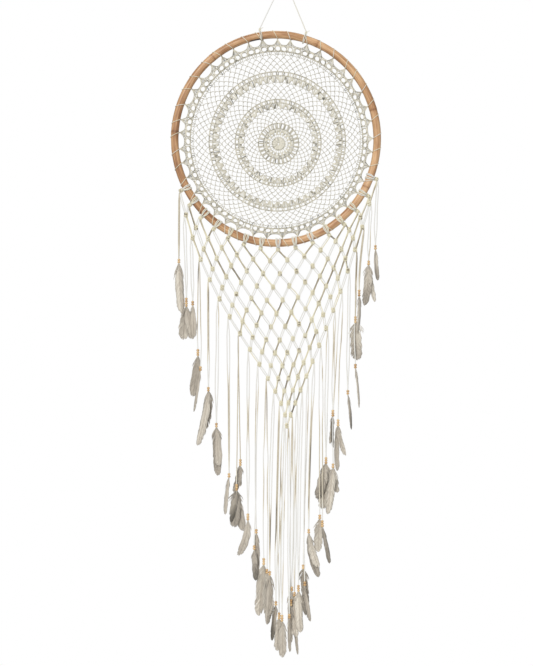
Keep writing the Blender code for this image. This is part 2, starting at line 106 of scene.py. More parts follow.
class Soup:
    """Collects tubes and turned shapes into one mesh, with the attributes that the materials read.

    grain is a place on the unrolled cord: length along it, then the two directions across it.
    tone is 0 for the lightest thread and 1 for the darkest; it carries the thread's own colour and painted
    shade.
    """

    def __init__(self):
        self.points, self.grain, self.tone, self.faces = [], [], [], {}
        self.count = 0

    def add(self, points, grain, tone, faces):
        points = points.reshape(-1, 3)
        self.points.append(points)
        self.grain.append(np.broadcast_to(grain, points.shape).reshape(-1, 3))
        self.tone.append(np.broadcast_to(tone, len(points)).ravel())
        for rows in faces:
            self.faces.setdefault(rows.shape[-1], []).append(rows.reshape(-1, rows.shape[-1]) + self.count)
        self.count += len(points)

    def tube(self, paths, radius, sides=6, tone=0.0, closed=False, flat=1.0, up=None, plies=0, seed=0.0):
        """Tubes along paths, an array of N points or of K times N points.

        flat is the tube's thickness along up as a share of its width, and plies twists that many strands."""
        paths = np.asarray(paths, float)
        if paths.ndim == 2:
            paths = paths[None]
        lines, steps = paths.shape[:2]
        if closed:
            tangent = unit(np.roll(paths, -1, 1) - np.roll(paths, 1, 1))
            gaps = np.linalg.norm(np.roll(paths, -1, 1) - paths, axis=-1)
        else:
            tangent = unit(np.gradient(paths, axis=1))
            gaps = np.linalg.norm(np.diff(paths, axis=1), axis=-1)
        along = np.concatenate([np.zeros((lines, 1)), np.cumsum(gaps, 1)], 1)[:, :steps]
        if up is not None:
            second = unit(up - (tangent * up).sum(-1, keepdims=True) * tangent)
            first = np.cross(second, tangent)
        else:
            first = np.empty_like(paths)
            start = np.where(np.abs(tangent[:, 0, 1:2]) < 0.8, [[0.0, 1.0, 0.0]], [[1.0, 0.0, 0.0]])
            carried = start - (start * tangent[:, 0]).sum(-1, keepdims=True) * tangent[:, 0]
            for step in range(steps):
                carried = carried - (carried * tangent[:, step]).sum(-1, keepdims=True) * tangent[:, step]
                carried = unit(carried)
                first[:, step] = carried
            second = np.cross(tangent, first)
        radius = np.broadcast_to(radius, (lines, steps))[..., None]
        angle = circle(sides)
        reach = radius * np.ones(sides)
        if plies:
            twist = along[..., None] * (2 * np.pi / PLY_TURN)
            reach = radius * (0.94 + 0.13 * np.abs(np.cos(plies / 2 * (angle - twist))))
        across, deep = reach * np.cos(angle), reach * np.sin(angle) * flat
        rings = paths[:, :, None] + first[:, :, None] * across[..., None]
        rings = rings + second[:, :, None] * deep[..., None]
        grain = np.stack([np.broadcast_to(along[..., None] + seed, across.shape), across, deep], -1)
        shade = np.broadcast_to(np.asarray(tone, float), (lines, steps))[..., None] * np.ones(sides)
        index = np.arange(lines * steps * sides).reshape(lines, steps, sides)
        ahead = np.roll(index, -1, 1) if closed else index[:, 1:]
        behind = index if closed else index[:, :-1]
        walls = np.stack([behind, np.roll(behind, -1, 2), np.roll(ahead, -1, 2), ahead], -1)
        faces = [walls]
        if not closed:
            faces += [index[:, 0, ::-1], index[:, -1]]
        self.add(rings, grain.reshape(-1, 3), shade.ravel(), faces)

    def turned(self, centre, profile, sides=14, axis=(0.0, 0.0, 1.0), tone=0.0, seed=0.0):
        """A turned solid. profile is (radius, height) from its bottom pole to its top pole."""
        axis = unit(np.asarray(axis, float))
        first = unit(np.cross(axis, Y if abs(axis[1]) < 0.9 else np.array([1.0, 0.0, 0.0])))
        second = np.cross(axis, first)
        angle = circle(sides)
        radius, height = np.array(profile).T
        spread = np.cos(angle)[:, None] * first + np.sin(angle)[:, None] * second
        rings = radius[1:-1, None, None] * spread + height[1:-1, None, None] * axis
        ends = height[[0, -1], None] * axis
        points = np.concatenate([rings.reshape(-1, 3), ends]) + centre
        index = np.arange((len(profile) - 2) * sides).reshape(-1, sides)
        walls = np.stack([index[:-1], np.roll(index[:-1], -1, 1), np.roll(index[1:], -1, 1), index[1:]], -1)
        low, high = index.size, index.size + 1
        base = np.stack([np.roll(index[0], -1), index[0], np.full(sides, low)], -1)
        lid = np.stack([index[-1], np.roll(index[-1], -1), np.full(sides, high)], -1)
        self.add(points, points - centre + seed, tone, [walls, base, lid])

    def build(self, name, material):
        points = np.concatenate(self.points)
        mesh = bpy.data.meshes.new(name)
        mesh.vertices.add(len(points))
        mesh.vertices.foreach_set("co", points.astype(np.float32).ravel())
        loops, starts, at = [], [], 0
        for size, groups in self.faces.items():
            rows = np.concatenate(groups)
            loops.append(rows.ravel())
            starts.append(at + np.arange(len(rows)) * size)
            at += rows.size
        loops, starts = np.concatenate(loops), np.concatenate(starts)
        mesh.loops.add(len(loops))
        mesh.loops.foreach_set("vertex_index", loops.astype(np.int32))
        mesh.polygons.add(len(starts))
        mesh.polygons.foreach_set("loop_start", starts.astype(np.int32))
        mesh.polygons.foreach_set("use_smooth", np.ones(len(starts), bool))
        mesh.update(calc_edges=True)
        grain = mesh.attributes.new("grain", "FLOAT_VECTOR", "POINT")
        grain.data.foreach_set("vector", np.concatenate(self.grain).astype(np.float32).ravel())
        tone = mesh.attributes.new("tone", "FLOAT", "POINT")
        tone.data.foreach_set("value", np.concatenate(self.tone).astype(np.float32))
        mesh.materials.append(material)
        obj = bpy.data.objects.new(name, mesh)
        bpy.context.scene.collection.objects.link(obj)
        return obj

    def piece(self, name, material, body, slot, *replaced):
        """The mesh as a piece that rides on a body and may stand for CAD nodes."""
        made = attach(self.build(name, material), body)
        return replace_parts(made, *replaced) if replaced else made


# Materials


class Shader:
    """A Principled material and short calls for its nodes."""

    def __init__(self, name):
        self.material = bpy.data.materials.new(name)
        self.material.use_nodes = True
        self.tree = self.material.node_tree
        self.surface = self.tree.nodes["Principled BSDF"]

    def feed(self, socket, value):
        if isinstance(value, bpy.types.NodeSocket):
            self.tree.links.new(value, socket)
        else:
            socket.default_value = value

    def node(self, kind, inputs=(), **settings):
        made = self.tree.nodes.new(kind)
        for key, value in settings.items():
            setattr(made, key, value)
        for key, value in dict(inputs).items():
            self.feed(made.inputs[key], value)
        return made

    def tone(self):
        return self.node("ShaderNodeAttribute", attribute_name="tone").outputs["Fac"]

    def noise(self, vector, scale, detail=3.0, roughness=0.55):
        inputs = {"Vector": vector, "Scale": scale, "Detail": detail, "Roughness": roughness}
        return self.node("ShaderNodeTexNoise", inputs).outputs["Fac"]

    def fibres(self, scale, detail=3.0, roughness=0.55):
        """Noise over the grain attribute. scale is along the cord, then twice across it."""
        vector = self.node("ShaderNodeAttribute", attribute_name="grain").outputs["Vector"]
        stretched = self.node("ShaderNodeMapping", {"Vector": vector, "Scale": scale}).outputs[0]
        return self.noise(stretched, 1.0, detail, roughness)

    def math(self, operation, *values, clamp=False):
        return self.node("ShaderNodeMath", enumerate(values), operation=operation, use_clamp=clamp).outputs[0]

    def scaled(self, value, factor, offset):
        return self.math("MULTIPLY_ADD", value, factor, offset)

    def ramp(self, value, stops):
        made = self.node("ShaderNodeValToRGB", {"Fac": value})
        elements = made.color_ramp.elements
        while len(elements) < len(stops):
            elements.new(0.5)
        for element, (place, colour) in zip(elements, stops):
            element.position = place
            element.color = (*colour, 1.0)
        return made.outputs["Color"]

    def bump(self, height, strength, distance):
        made = self.node("ShaderNodeBump", {"Height": height, "Strength": strength, "Distance": distance})
        self.set(Normal=made.outputs[0])

    def set(self, **values):
        for key, value in values.items():
            self.feed(self.surface.inputs[key.replace("_", " ")], value)


def cotton(name, stops, bump=0.5):
    """Twisted cotton, from its lightest colour to its darkest, with fibres along the ply; the darker end also
    paints shade.
    """
    shader = Shader(name)
    fibre = shader.fibres((260.0, 1500.0, 1500.0), 4.0)
    patch = shader.fibres((38.0, 90.0, 90.0), 2.0)
    tone = shader.math("ADD", shader.tone(), shader.scaled(patch, 0.36, -0.18))
    tone = shader.math("ADD", tone, shader.scaled(fibre, 0.22, -0.11), clamp=True)
    shader.set(Base_Color=shader.ramp(tone, stops), Roughness=shader.scaled(fibre, 0.2, 0.72))
    shader.set(Sheen_Weight=0.25, Sheen_Roughness=0.5, Specular_IOR_Level=0.25)
    shader.bump(fibre, bump, 0.0004)
    return shader.material


def rattan_material():
    """Peeled rattan: long pale and brown streaks, darker nodes and a satin skin."""
    shader = Shader("rattan")
    streak = shader.fibres((9.0, 420.0, 420.0), 6.0, 0.6)
    fine = shader.fibres((30.0, 1800.0, 1800.0))
    blotch = shader.fibres((14.0, 40.0, 40.0))
    mixed = shader.math("ADD", shader.math("MULTIPLY", streak, 0.80), shader.math("MULTIPLY", blotch, 0.55))
    tone = shader.math("ADD", shader.math("SUBTRACT", mixed, 0.16), shader.tone(), clamp=True)
    stops = (
        (0.34, (0.74, 0.49, 0.275)),
        (0.46, (0.585, 0.345, 0.175)),
        (0.60, (0.37, 0.185, 0.085)),
        (0.80, (0.19, 0.085, 0.042)),
        (1.00, (0.045, 0.028, 0.022)),
    )
    shader.set(Base_Color=shader.ramp(tone, stops), Roughness=shader.scaled(blotch, 0.3, 0.28))
    shader.set(Specular_IOR_Level=0.4, Coat_Weight=0.12, Coat_Roughness=0.35)
    height = shader.math("ADD", shader.math("MULTIPLY", fine, 0.5), shader.math("MULTIPLY", streak, 0.5))
    shader.bump(height, 0.45, 0.0006)
    return shader.material


def bead_material():
    """Turned wood with darker rings."""
    shader = Shader("bead_wood")
    rings = shader.fibres((260.0, 260.0, 900.0), 4.0)
    tone = shader.math("ADD", shader.scaled(rings, 1.6, -0.30), shader.tone(), clamp=True)
    stops = (
        (0.30, (0.82, 0.61, 0.33)),
        (0.50, (0.68, 0.44, 0.20)),
        (0.72, (0.38, 0.20, 0.085)),
        (1.00, (0.10, 0.05, 0.03)),
    )
    shader.set(Base_Color=shader.ramp(tone, stops), Roughness=shader.scaled(rings, 0.25, 0.25))
    shader.set(Specular_IOR_Level=0.5)
    shader.bump(rings, 0.2, 0.0003)
    return shader.material


def feather_material(name, stops):
    """Barbs or quill of a feather, each barb a fine line along its own length."""
    shader = Shader(name)
    barbs = shader.fibres((24.0, 2600.0, 300.0))
    cloud = shader.fibres((22.0, 30.0, 30.0), 2.0)
    uneven = shader.math("ADD", shader.scaled(barbs, 0.42, -0.21), shader.scaled(cloud, 0.3, -0.15))
    tone = shader.math("ADD", shader.tone(), uneven, clamp=True)
    shader.set(Base_Color=shader.ramp(tone, stops), Roughness=shader.scaled(barbs, 0.25, 0.48))
    shader.set(Specular_IOR_Level=0.3, Sheen_Weight=0.15)
    shader.bump(barbs, 0.35, 0.0004)
    return shader.material


# The hoop's and the net's shapes


def hoop_place(degrees, radial=0.0, depth=0.0):
    """A point at an angle from straight down, that far outward of the rattan's middle and that far back."""
    angle = np.radians(np.asarray(degrees, float))
    sine, cosine = np.sin(angle), np.cos(angle)
    zero = np.zeros_like(angle)
    offset = np.stack([HOOP_HALF_WIDTH * sine, zero, -HOOP_HALF_HEIGHT * cosine], -1)
    along = unit(np.stack([HOOP_HALF_WIDTH * cosine, zero, HOOP_HALF_HEIGHT * sine], -1))
    outward = np.stack([along[..., 2], zero, -along[..., 0]], -1)
    spot = HOOP_CENTRE + offset + outward * np.asarray(radial)[..., None]
    return spot + Y * np.asarray(depth)[..., None]


def outward_at(degrees):
    return unit(hoop_place(degrees, 1.0) - hoop_place(degrees))


def head_angle(index):
    return FIRST_HEAD + HEAD_STEP * index - HEAD_BOW * math.sin(math.pi * index / (HEADS - 1))


def bezier(start, handles, end, share):
    first, second = handles
    rest = 1.0 - share
    return start * rest**3 + first * (3 * rest**2 * share) + second * (3 * rest * share**2) + end * share**3


def top_knot(index):
    return hoop_place(head_angle(index), HEAD_DROP)


def net_knot(row, column):
    """A knot of the net. Row 0 is on the hoop, and the last row is the single knot at the tip."""
    last = HEADS - 1
    left, right = column, column + row

    def on_left_edge(index):
        return bezier(top_knot(0), LEFT_EDGE, NET_TIP, index / last)

    def on_right_edge(index):
        return bezier(NET_TIP, RIGHT_EDGE, top_knot(last), index / last)

    def misfit(index):
        return top_knot(index) - (on_left_edge(index) + on_right_edge(index) - NET_TIP)

    spot = on_left_edge(right) + on_right_edge(left) - NET_TIP
    if row == 0:
        return spot + misfit(column)
    share_left = 1.0 - row / (last - left) if left < last else 0.0
    share_right = 1.0 - row / right
    # 0 on the edges, 1 in the middle
    inside = (left * row * (last - right) / (last / 3) ** 3) ** NET_FULLNESS
    pull = NET_PULL + Z * NET_SKEW * (left + right - last) / last
    return spot + (misfit(left) * share_left + misfit(right) * share_right) / 2 + pull * inside


def round_rattan(degrees, reach, turn):
    """Points on a cord that goes round the rattan. A turn starts on the outside and goes over the front."""
    return hoop_place(degrees, reach * np.cos(turn), -reach * np.sin(turn))


def streaks(steps, length, chance, depth=0.75, base=0.0):
    """The tone along a cord: mostly base, with now and then a darker stretch."""
    tone = np.full(steps, base) + dice.uniform(-0.04, 0.06)
    along = np.linspace(0.0, length, steps)
    for _ in range(dice.poisson(chance)):
        middle, reach = dice.uniform(0, length), dice.uniform(0.012, 0.07)
        tone += depth * dice.uniform(0.5, 1.0) * smooth(1.4 - np.abs(along - middle) / reach)
    return np.clip(tone, 0.0, 1.0)


# The hoop


CUT_TILT = 0.34  # how far the cut face of the joint turns to the front


def make_rattan(material):
    """One cane whose ends overlap in a long scarf joint near the top, left of the middle."""
    joint, lap = 188.2, 9.5  # where the full end stops, and how long the thinned end runs in
    steps, sides = 720, 24
    degrees = joint - np.linspace(0.0, 360.0, steps)
    along = np.radians(joint - degrees) * HOOP_HALF_WIDTH
    radius = RATTAN_RADIUS * (1 + 0.012 * np.sin(along * 31) + 0.008 * np.sin(along * 83 + 1))
    pale = smooth((degrees + 13.0) / 1.2) * smooth((12.0 - degrees) / 2.5)  # a paler stretch at the bottom
    dull = np.exp(-(((degrees + 17.0) / 4.5) ** 2))  # and a darker one beside it
    # Lighter towards the right side and darker towards the left: partly the cane's own colour, partly painted
    # light.
    tone = -0.020 - 0.048 * np.cos(np.radians(degrees - 98.0)) - 0.07 * pale + 0.06 * dull
    for node in (0.16, 0.41, 0.63, 0.93, 1.18, 1.42, 1.66):
        bulge = np.exp(-(((along - node) / 0.006) ** 2))
        radius = radius * (1 + 0.035 * bulge)
        tone = tone + 0.16 * np.exp(-(((along - node - 0.004) / 0.0022) ** 2)) + 0.05 * bulge
    soup = Soup()
    angle = circle(sides)
    outward = outward_at(degrees)
    across, deep = np.cos(angle), -np.sin(angle)
    share = np.clip((np.degrees(along / HOOP_HALF_WIDTH) - (360.0 - lap)) / lap, 0.0, 1.0)[:, None]
    front = -deep[None, :]
    floor = -1.0 + CUT_TILT * (front - 1.0) + (0.05 + CUT_TILT) * smooth(share * 3.0)
    shaved = np.maximum(across[None, :], np.minimum(floor, 0.4))
    reach = radius[:, None] * shaved
    offsets = outward[:, None] * reach[..., None] + Y * (radius[:, None] * deep)[..., None]
    rings = hoop_place(degrees)[:, None] + offsets
    # The thinned end's cut face and the full end's last ring are painted dark: painted shade in the gap of
    # the joint.
    shaded_cut_face = (across[None, :] < floor - 0.02) & (share > 0.02)
    shade = tone[:, None] + np.where(shaded_cut_face, 0.75, 0.0)
    shade[:1] += 0.4
    wall = radius[:, None]
    grain = np.stack(np.broadcast_arrays(along[:, None], wall * across, wall * deep), -1)
    index = np.arange(steps * sides).reshape(steps, sides)
    walls = np.stack([index[:-1], index[1:], np.roll(index[1:], -1, 1), np.roll(index[:-1], -1, 1)], -1)
    soup.add(rings, grain.reshape(-1, 3), shade.ravel(), [walls, index[0], index[-1][::-1]])
    soup.piece("rattan_hoop", material, "hoop", "rattan", "hoop")


LACES = 41
LACE_STEP = 360.0 / LACES
LACE_SLANT = 2.7  # degrees that the thread advances while it crosses the front


def lace_angle(index):
    """Where the web's points meet the rattan, with the small unevenness of handwork."""
    return 187.9 - LACE_STEP * (index + 0.07 * math.sin(index * 2.4) + 0.05 * math.sin(index * 5.3))


def make_lacing(material):
    steps = 20
    reach = RATTAN_RADIUS + LACE_THREAD + 0.0002
    spots = []
    for index in range(LACES):
        inner, following = lace_angle(index), lace_angle(index + 1)
        outer = following + LACE_SLANT
        for step in range(steps):
            share = step / steps
            turn = math.pi + 2 * math.pi * share
            if share < 0.5:
                degrees = inner + (outer - inner) * smooth(share * 2)
            else:
                degrees = outer + (following - outer) * smooth(share * 2 - 1)
            # The turn runs from the inside over the back to the outside, then over the front
            spots.append(round_rattan(degrees, reach, turn))
    spots = np.array(spots)
    soup = Soup()
    tone = 0.26 + 0.1 * np.sin(np.arange(len(spots)) * 0.11)
    soup.tube(spots, LACE_THREAD, 6, tone, closed=True)
    for index in range(LACES):
        knot = hoop_place(lace_angle(index), -(reach + 0.0012))
        soup.tube(small_loop(knot, 0.0016, 10), 0.0008, 5, 0.15, closed=True)
    soup.piece("web_lacing_thread", material, "hoop", "cotton", "web_lacing")


def small_loop(centre, size, steps):
    angle = circle(steps)
    ring = np.stack([np.cos(angle), 0.35 * np.sin(2 * angle), np.sin(angle)], -1)
    return centre + ring * size


# The crocheted web. Its radii are from its own middle, before it is stretched to the oval of the hoop.

WEB_RADIUS = 0.278
WEB_SHIFT = np.array([0.0078, 0.0, -0.0143])  # its middle hangs a little low


def web_place(radius, angle, depth=0.0):
    radius, angle = np.asarray(radius, float), np.asarray(angle, float)
    share = radius / WEB_RADIUS
    tall = 1.0 + 0.0306 * share
    x = radius * np.sin(angle)
    z = -radius * np.cos(angle) * tall
    spot = np.stack(np.broadcast_arrays(x, depth, z), -1)
    return HOOP_CENTRE + spot + WEB_SHIFT * (1.0 - share**2)[..., None]


def scallops(soup, inner, outer, count, phase, thread, tone):
    """A round of chain loops, each caught at both ends in the round inside it."""
    share = np.linspace(0.0, 1.0, 15)
    anchors = (np.arange(count + 1) + dice.uniform(-0.07, 0.07, count + 1)) / count
    anchors[-1] = anchors[0] + 1.0
    start, end = anchors[:-1, None], anchors[1:, None]
    angle = 2 * np.pi * (phase / count + start + (end - start) * share)
    height = (outer - inner) * dice.uniform(0.94, 1.1, (count, 1))
    radius = inner + height * np.sin(np.pi * share) ** 0.75
    depth = dice.uniform(-0.0006, 0.0006, (count, 1)) * np.sin(np.pi * share)
    knots = thread * (1.0 + 0.3 * np.cos(2 * np.pi * 5 * share) ** 2)
    knots = knots * (1.0 + 0.8 * (np.abs(share - 0.5) < 0.05))
    shade = tone + dice.uniform(-0.12, 0.12, (count, 1))
    soup.tube(web_place(radius, angle, depth), knots, 5, shade, seed=inner)


def mottled(tone, count, share=0.14):
    """One tone for each stitch, some of them much darker: painted shade in the gaps between dense stitches.
    """
    dark = (dice.random((count, 1)) < share) * dice.uniform(0.3, 0.7, (count, 1))
    return tone + dice.uniform(-0.14, 0.14, (count, 1)) + dark


def bars(soup, inner, outer, count, phase, thread, tone):
    """A round of straight stitches that stand across it."""
    share = np.linspace(0.0, 1.0, 6)
    uneven = dice.uniform(-0.09, 0.09, (count, 1)) + dice.uniform(-0.12, 0.12, (count, 1)) * (share - 0.5)
    angle = 2 * np.pi * (np.arange(count)[:, None] + phase + uneven) / count
    radius = inner + (outer - inner) * share
    depth = -0.0005 + dice.uniform(-0.0005, 0.0005, (count, 1))
    knots = thread * (1.0 + 0.25 * np.sin(np.pi * share * 3) ** 2)
    soup.tube(web_place(radius + 0 * angle, angle, depth), knots, 5, mottled(tone, count))


def chain_ring(soup, radius, thread, tone):
    """A closed round of chain stitches."""
    stitches = max(12, int(2 * np.pi * radius / (thread * 3.6)))
    turn = circle(stitches * 4)
    wave = np.sin(turn * stitches)
    spots = web_place(radius + 0.25 * thread * wave, turn, -0.0003 + 0.3 * thread * np.cos(turn * stitches))
    # Each stitch its own tone, some much darker as painted shade between the stitches.
    stitch_tones_and_shade = np.repeat(mottled(0.0, stitches, 0.16)[:, 0], 4)
    uneven = tone + 0.1 * np.sin(turn * 23) * np.sin(turn * 7 + 1) + stitch_tones_and_shade
    soup.tube(spots, thread * (1.0 + 0.28 * wave), 6, uneven, closed=True)


def shells(soup, inner, outer, count, stitches, spread, thread, tone, phase=0.0):
    """A round of shells: fans of tall stitches that stand in one place."""
    share = np.linspace(0.0, 1.0, 6)
    for stitch in range(stitches):
        side = (stitch - (stitches - 1) / 2) / max(1, (stitches - 1) / 2)
        uneven = dice.uniform(-0.05, 0.05, (count, 1))
        fan = 0.5 * spread * side * (0.35 + 0.65 * share**0.8)
        turn = (np.arange(count)[:, None] + phase + uneven + fan) / count
        radius = inner + (outer - inner) * share * (1.0 - 0.08 * side**2)
        depth = -0.0009 * np.sin(np.pi * share) * (1 - abs(side)) + dice.uniform(-0.0004, 0.0004, (count, 1))
        fat = thread * (0.85 + 0.45 * np.sin(np.pi * share) ** 0.7)
        shade = mottled(tone, count, 0.2) + 0.1 * (share < 0.3)
        soup.tube(web_place(radius + 0 * turn, 2 * np.pi * turn, depth), fat, 5, shade)


def arches(soup, inner, outer, rounds, count, thread, tone):
    """Rounds of chain loops, each round standing on the middles of the loops inside it."""
    radii = np.linspace(inner, outer, rounds + 1)
    for index in range(rounds):
        rise = radii[index + 1] - radii[index]
        scallops(soup, radii[index], radii[index] + 1.08 * rise, count, 0.5 * (index % 2), thread, tone)


def rope_ring(soup, radius, thread, tone):
    """A dense round: two chains side by side and the short stitches that hold them."""
    chain_ring(soup, radius - 0.8 * thread, thread, tone)
    chain_ring(soup, radius + 0.9 * thread, thread, tone - 0.05)
    count = int(2 * np.pi * radius / (thread * 4.2))
    bars(soup, radius - 1.7 * thread, radius + 1.7 * thread, count, 0.3, thread * 0.9, tone)


def make_web(material):
    fine, thick = WEB_THREAD, WEB_THREAD * 1.5
    heart = Soup()
    turn = np.linspace(0.0, 2 * np.pi * 4.6, 210)
    heart.tube(web_place(0.0012 + 0.0034 * turn / (2 * np.pi), turn, -0.0006), thick * 1.2, 6, 0.08)
    bars(heart, 0.0030, 0.0170, 13, 0.0, thick, 0.12)
    bars(heart, 0.0085, 0.0170, 26, 0.5, thick, 0.12)
    rope_ring(heart, 0.0176, thick * 0.9, 0.3)
    bars(heart, 0.0190, 0.0262, 26, 0.0, fine * 1.1, 0.15)
    chain_ring(heart, 0.0268, thick, 0.2)
    shells(heart, 0.0268, 0.0350, 19, 4, 0.55, thick * 0.95, 0.1)
    shells(heart, 0.0330, 0.0412, 19, 5, 0.92, thick, 0.12, 0.5)
    chain_ring(heart, 0.0345, thick, 0.2)
    rope_ring(heart, 0.0428, thick * 0.9, 0.35)
    posts(heart, 0.0440, 0.0560, 27, 3, 0.56, fine * 1.6, 0.24)
    rope_ring(heart, 0.0575, thick * 0.85, 0.28)
    inner_rounds, outer_rounds, rim, border = Soup(), Soup(), Soup(), Soup()
    arches(inner_rounds, 0.0590, 0.0975, 5, 31, fine, MESH_TONE)
    inner_levels = (0.0975, 0.1115, 0.1045, 0.1118), 31, (0.1130, 0.1140, 0.1212, 0.1225), 53
    dense_band(inner_rounds, *inner_levels, thick)
    arches(outer_rounds, 0.1240, 0.1665, 5, 53, fine, MESH_TONE)
    outer_levels = (0.1665, 0.1835, 0.1750, 0.1838), 53, (0.1845, 0.1855, 0.1932, 0.1946), 72
    dense_band(outer_rounds, *outer_levels, thick)
    arches(rim, 0.1962, 0.2385, 5, 72, fine, MESH_TONE)
    make_border(border, thick)
    heart.piece("crochet_heart", material, "hoop", "cotton", "crochet_web")
    rounds = {"inner_rounds": inner_rounds, "outer_rounds": outer_rounds, "rim_rounds": rim, "border": border}
    for name, soup in rounds.items():
        soup.piece(f"crochet_{name}", material, "hoop", "cotton")


def dense_band(soup, shell_radii, shell_count, ladder_radii, ladder_count, thread):
    """A dense band: shells with more of them between, and a ladder of stitches between two thick rounds."""
    inner, outer, between, last = shell_radii
    shells(soup, inner, outer, shell_count, 6, 0.92, thread, 0.14)
    shells(soup, between, last, shell_count, 4, 0.45, thread, 0.2, 0.5)
    first, foot, head, second = ladder_radii
    rope_ring(soup, first, thread * 0.9, 0.25)
    posts(soup, foot, head, ladder_count, 4, 0.60, thread * 0.95, 0.2)
    rope_ring(soup, second, thread * 0.85, 0.28)


def posts(soup, inner, outer, count, stitches, spread, thread, tone):
    """Groups of upright stitches with a hole between each group and the next."""
    for stitch in range(stitches):
        phase = spread * ((stitch + 0.5) / stitches - 0.5)
        bars(soup, inner, outer, count, phase, thread, tone + dice.uniform(-0.1, 0.1))


MESH_TONE = 0.36
HOLES = 2 * LACES  # round holes near the web's edge, one under each point and one between


def make_border(soup, thread):
    """The edge: short shells, a round of holes, a thick chain and a fan up to every point on the rattan."""
    shells(soup, 0.2375, 0.2450, 72, 3, 0.6, thread * 0.9, 0.3)
    rope_ring(soup, 0.2462, thread * 0.9, 0.32)
    oval = circle(18)
    wide, tall = 0.0078, 0.0056  # half the size of a hole
    for hole in range(HOLES):
        start = math.radians(lace_angle(hole // 2))
        following = math.radians(lace_angle(hole // 2 + 1))
        middle = start + (following - start) * 0.5 * (hole % 2)
        radius = 0.2528 + dice.uniform(-0.0006, 0.0006)
        for grow, depth in ((0.0, -0.0010), (0.0013, 0.0003)):
            height, angle = (tall + grow) * np.sin(oval), (wide + grow) * np.cos(oval) / radius
            ring = web_place(radius + height, middle + angle, depth)
            shade = 0.24 + 0.3 * np.sin(oval * 2 + hole) + dice.uniform(-0.15, 0.25)
            soup.tube(ring, thread * (0.95 + 0.25 * np.cos(oval * 9)), 6, shade, closed=True)
    phase = (math.radians(lace_angle(0)) / (2 * np.pi) * HOLES + 0.5) % 1.0
    for offset in (-0.08, 0.08):
        bars(soup, 0.2475, 0.2590, HOLES, phase + offset, thread, 0.26)
    rope_ring(soup, 0.2603, thread * 0.70, 0.12)
    for index in range(LACES):
        here = math.radians(lace_angle(index))
        following = math.radians(lace_angle(index + 1))
        steps = np.linspace(0.0, 1.0, 7)
        for stitch in np.linspace(-1.0, 1.0, 7):
            base = here + stitch * (0.0105 + dice.uniform(-0.0008, 0.0008)) / 0.266
            angle = base + (here - base) * steps**1.1
            radius = 0.2612 - 0.0004 * abs(stitch) + (0.2766 - 0.2612) * steps
            shade = 0.06 + dice.uniform(-0.1, 0.25) + dice.uniform(0.2, 0.6) * (dice.random() < 0.30)
            depth = -0.0007 * math.cos(stitch * 6) - 0.0004
            shade = shade + 0.25 * (steps < 0.2)
            soup.tube(web_place(radius, angle, depth), thread * (1.05 - 0.35 * steps), 5, shade)
        steps = np.linspace(0.0, 1.0, 15)
        sag = 0.2622 + (0.2752 - 0.2622) * np.abs(2 * steps - 1) ** 3.0
        angle = here + (following - here) * steps
        knots = thread * (0.85 + 0.25 * np.sin(np.pi * steps * 7) ** 2)
        soup.tube(web_place(sag, angle, 0.0006), knots, 5, 0.35 + dice.uniform(-0.1, 0.25))


# Knots


def square_knot(soup, centre, width, height, tilt, tone):
    """Two square knots, one under the other: crossed bars in front and behind, with loops at both sides."""
    basis = tilted(tilt).T
    size = np.array([width, width, height])
    cord = NET_CORD * 1.04
    share = np.linspace(-1.0, 1.0, 8)
    bow = np.sqrt(1.0 - (share * 0.92) ** 2)
    routes = []
    for level, slope in ((0.31, 0.09), (0.10, -0.09), (-0.11, 0.09), (-0.32, -0.09)):
        wide = 0.39 - 1.5 * level**2
        routes.append(np.stack([wide * share, -0.27 * bow - 0.05, level + slope * share], -1))
        routes.append(np.stack([wide * share, 0.25 * bow + 0.02, level - slope * share], -1))
    for side in (-1.0, 1.0):
        for level in (0.20, -0.22):
            loop = [side * (0.33 + 0.13 * (1 - share**2)), -0.22 * (1 - share**2), level + 0.19 * share]
            routes.append(np.stack(loop, -1))
        routes.append(np.stack([side * 0.12 + 0 * share, -0.02 + 0 * share, 0.56 * share], -1))
    for route in routes:
        shade = tone + dice.uniform(-0.06, 0.07) + (0.45 if dice.random() < 0.06 else 0.0)
        soup.tube(centre + (route * size) @ basis, cord, 6, shade)


def lark_head(soup, index):
    """Two and two cords over the rattan, apart on its front, that come together in the knot under it."""
    middle = head_angle(index)
    play = 0.0009 if index in CURTAIN_HEADS else 0.0003  # the middle heads turn on the rattan
    reach = RATTAN_RADIUS + NET_CORD + play
    gather = 0.46 + 0.60 * smooth((1 - np.cos(WRAP)) / 1.2)
    lean = dice.uniform(-0.8, 0.8)
    for side in (-1.0, 1.0):
        gap = dice.uniform(1.3, 3.0)
        for which in (0.0, 1.0):
            offset = side * (gap + (2.15 + dice.uniform(0.0, 0.7)) * which)
            shift = (offset * gather + lean * (1 - np.cos(WRAP))) * NET_CORD
            degrees = middle + np.degrees(shift / HOOP_HALF_WIDTH)
            sink = 0.0010 * (np.cos(WRAP) > 0.6) * (1 - which)
            spots = round_rattan(degrees, reach + sink, WRAP)
            soup.tube(spots, NET_CORD, 7, dice.uniform(0.08, 0.32), closed=True, plies=2)


def knot_tilt(row, column):
    if row:
        return math.radians(dice.uniform(-9, 9))
    outward = outward_at(head_angle(column))
    return math.atan2(outward[0], -outward[2])


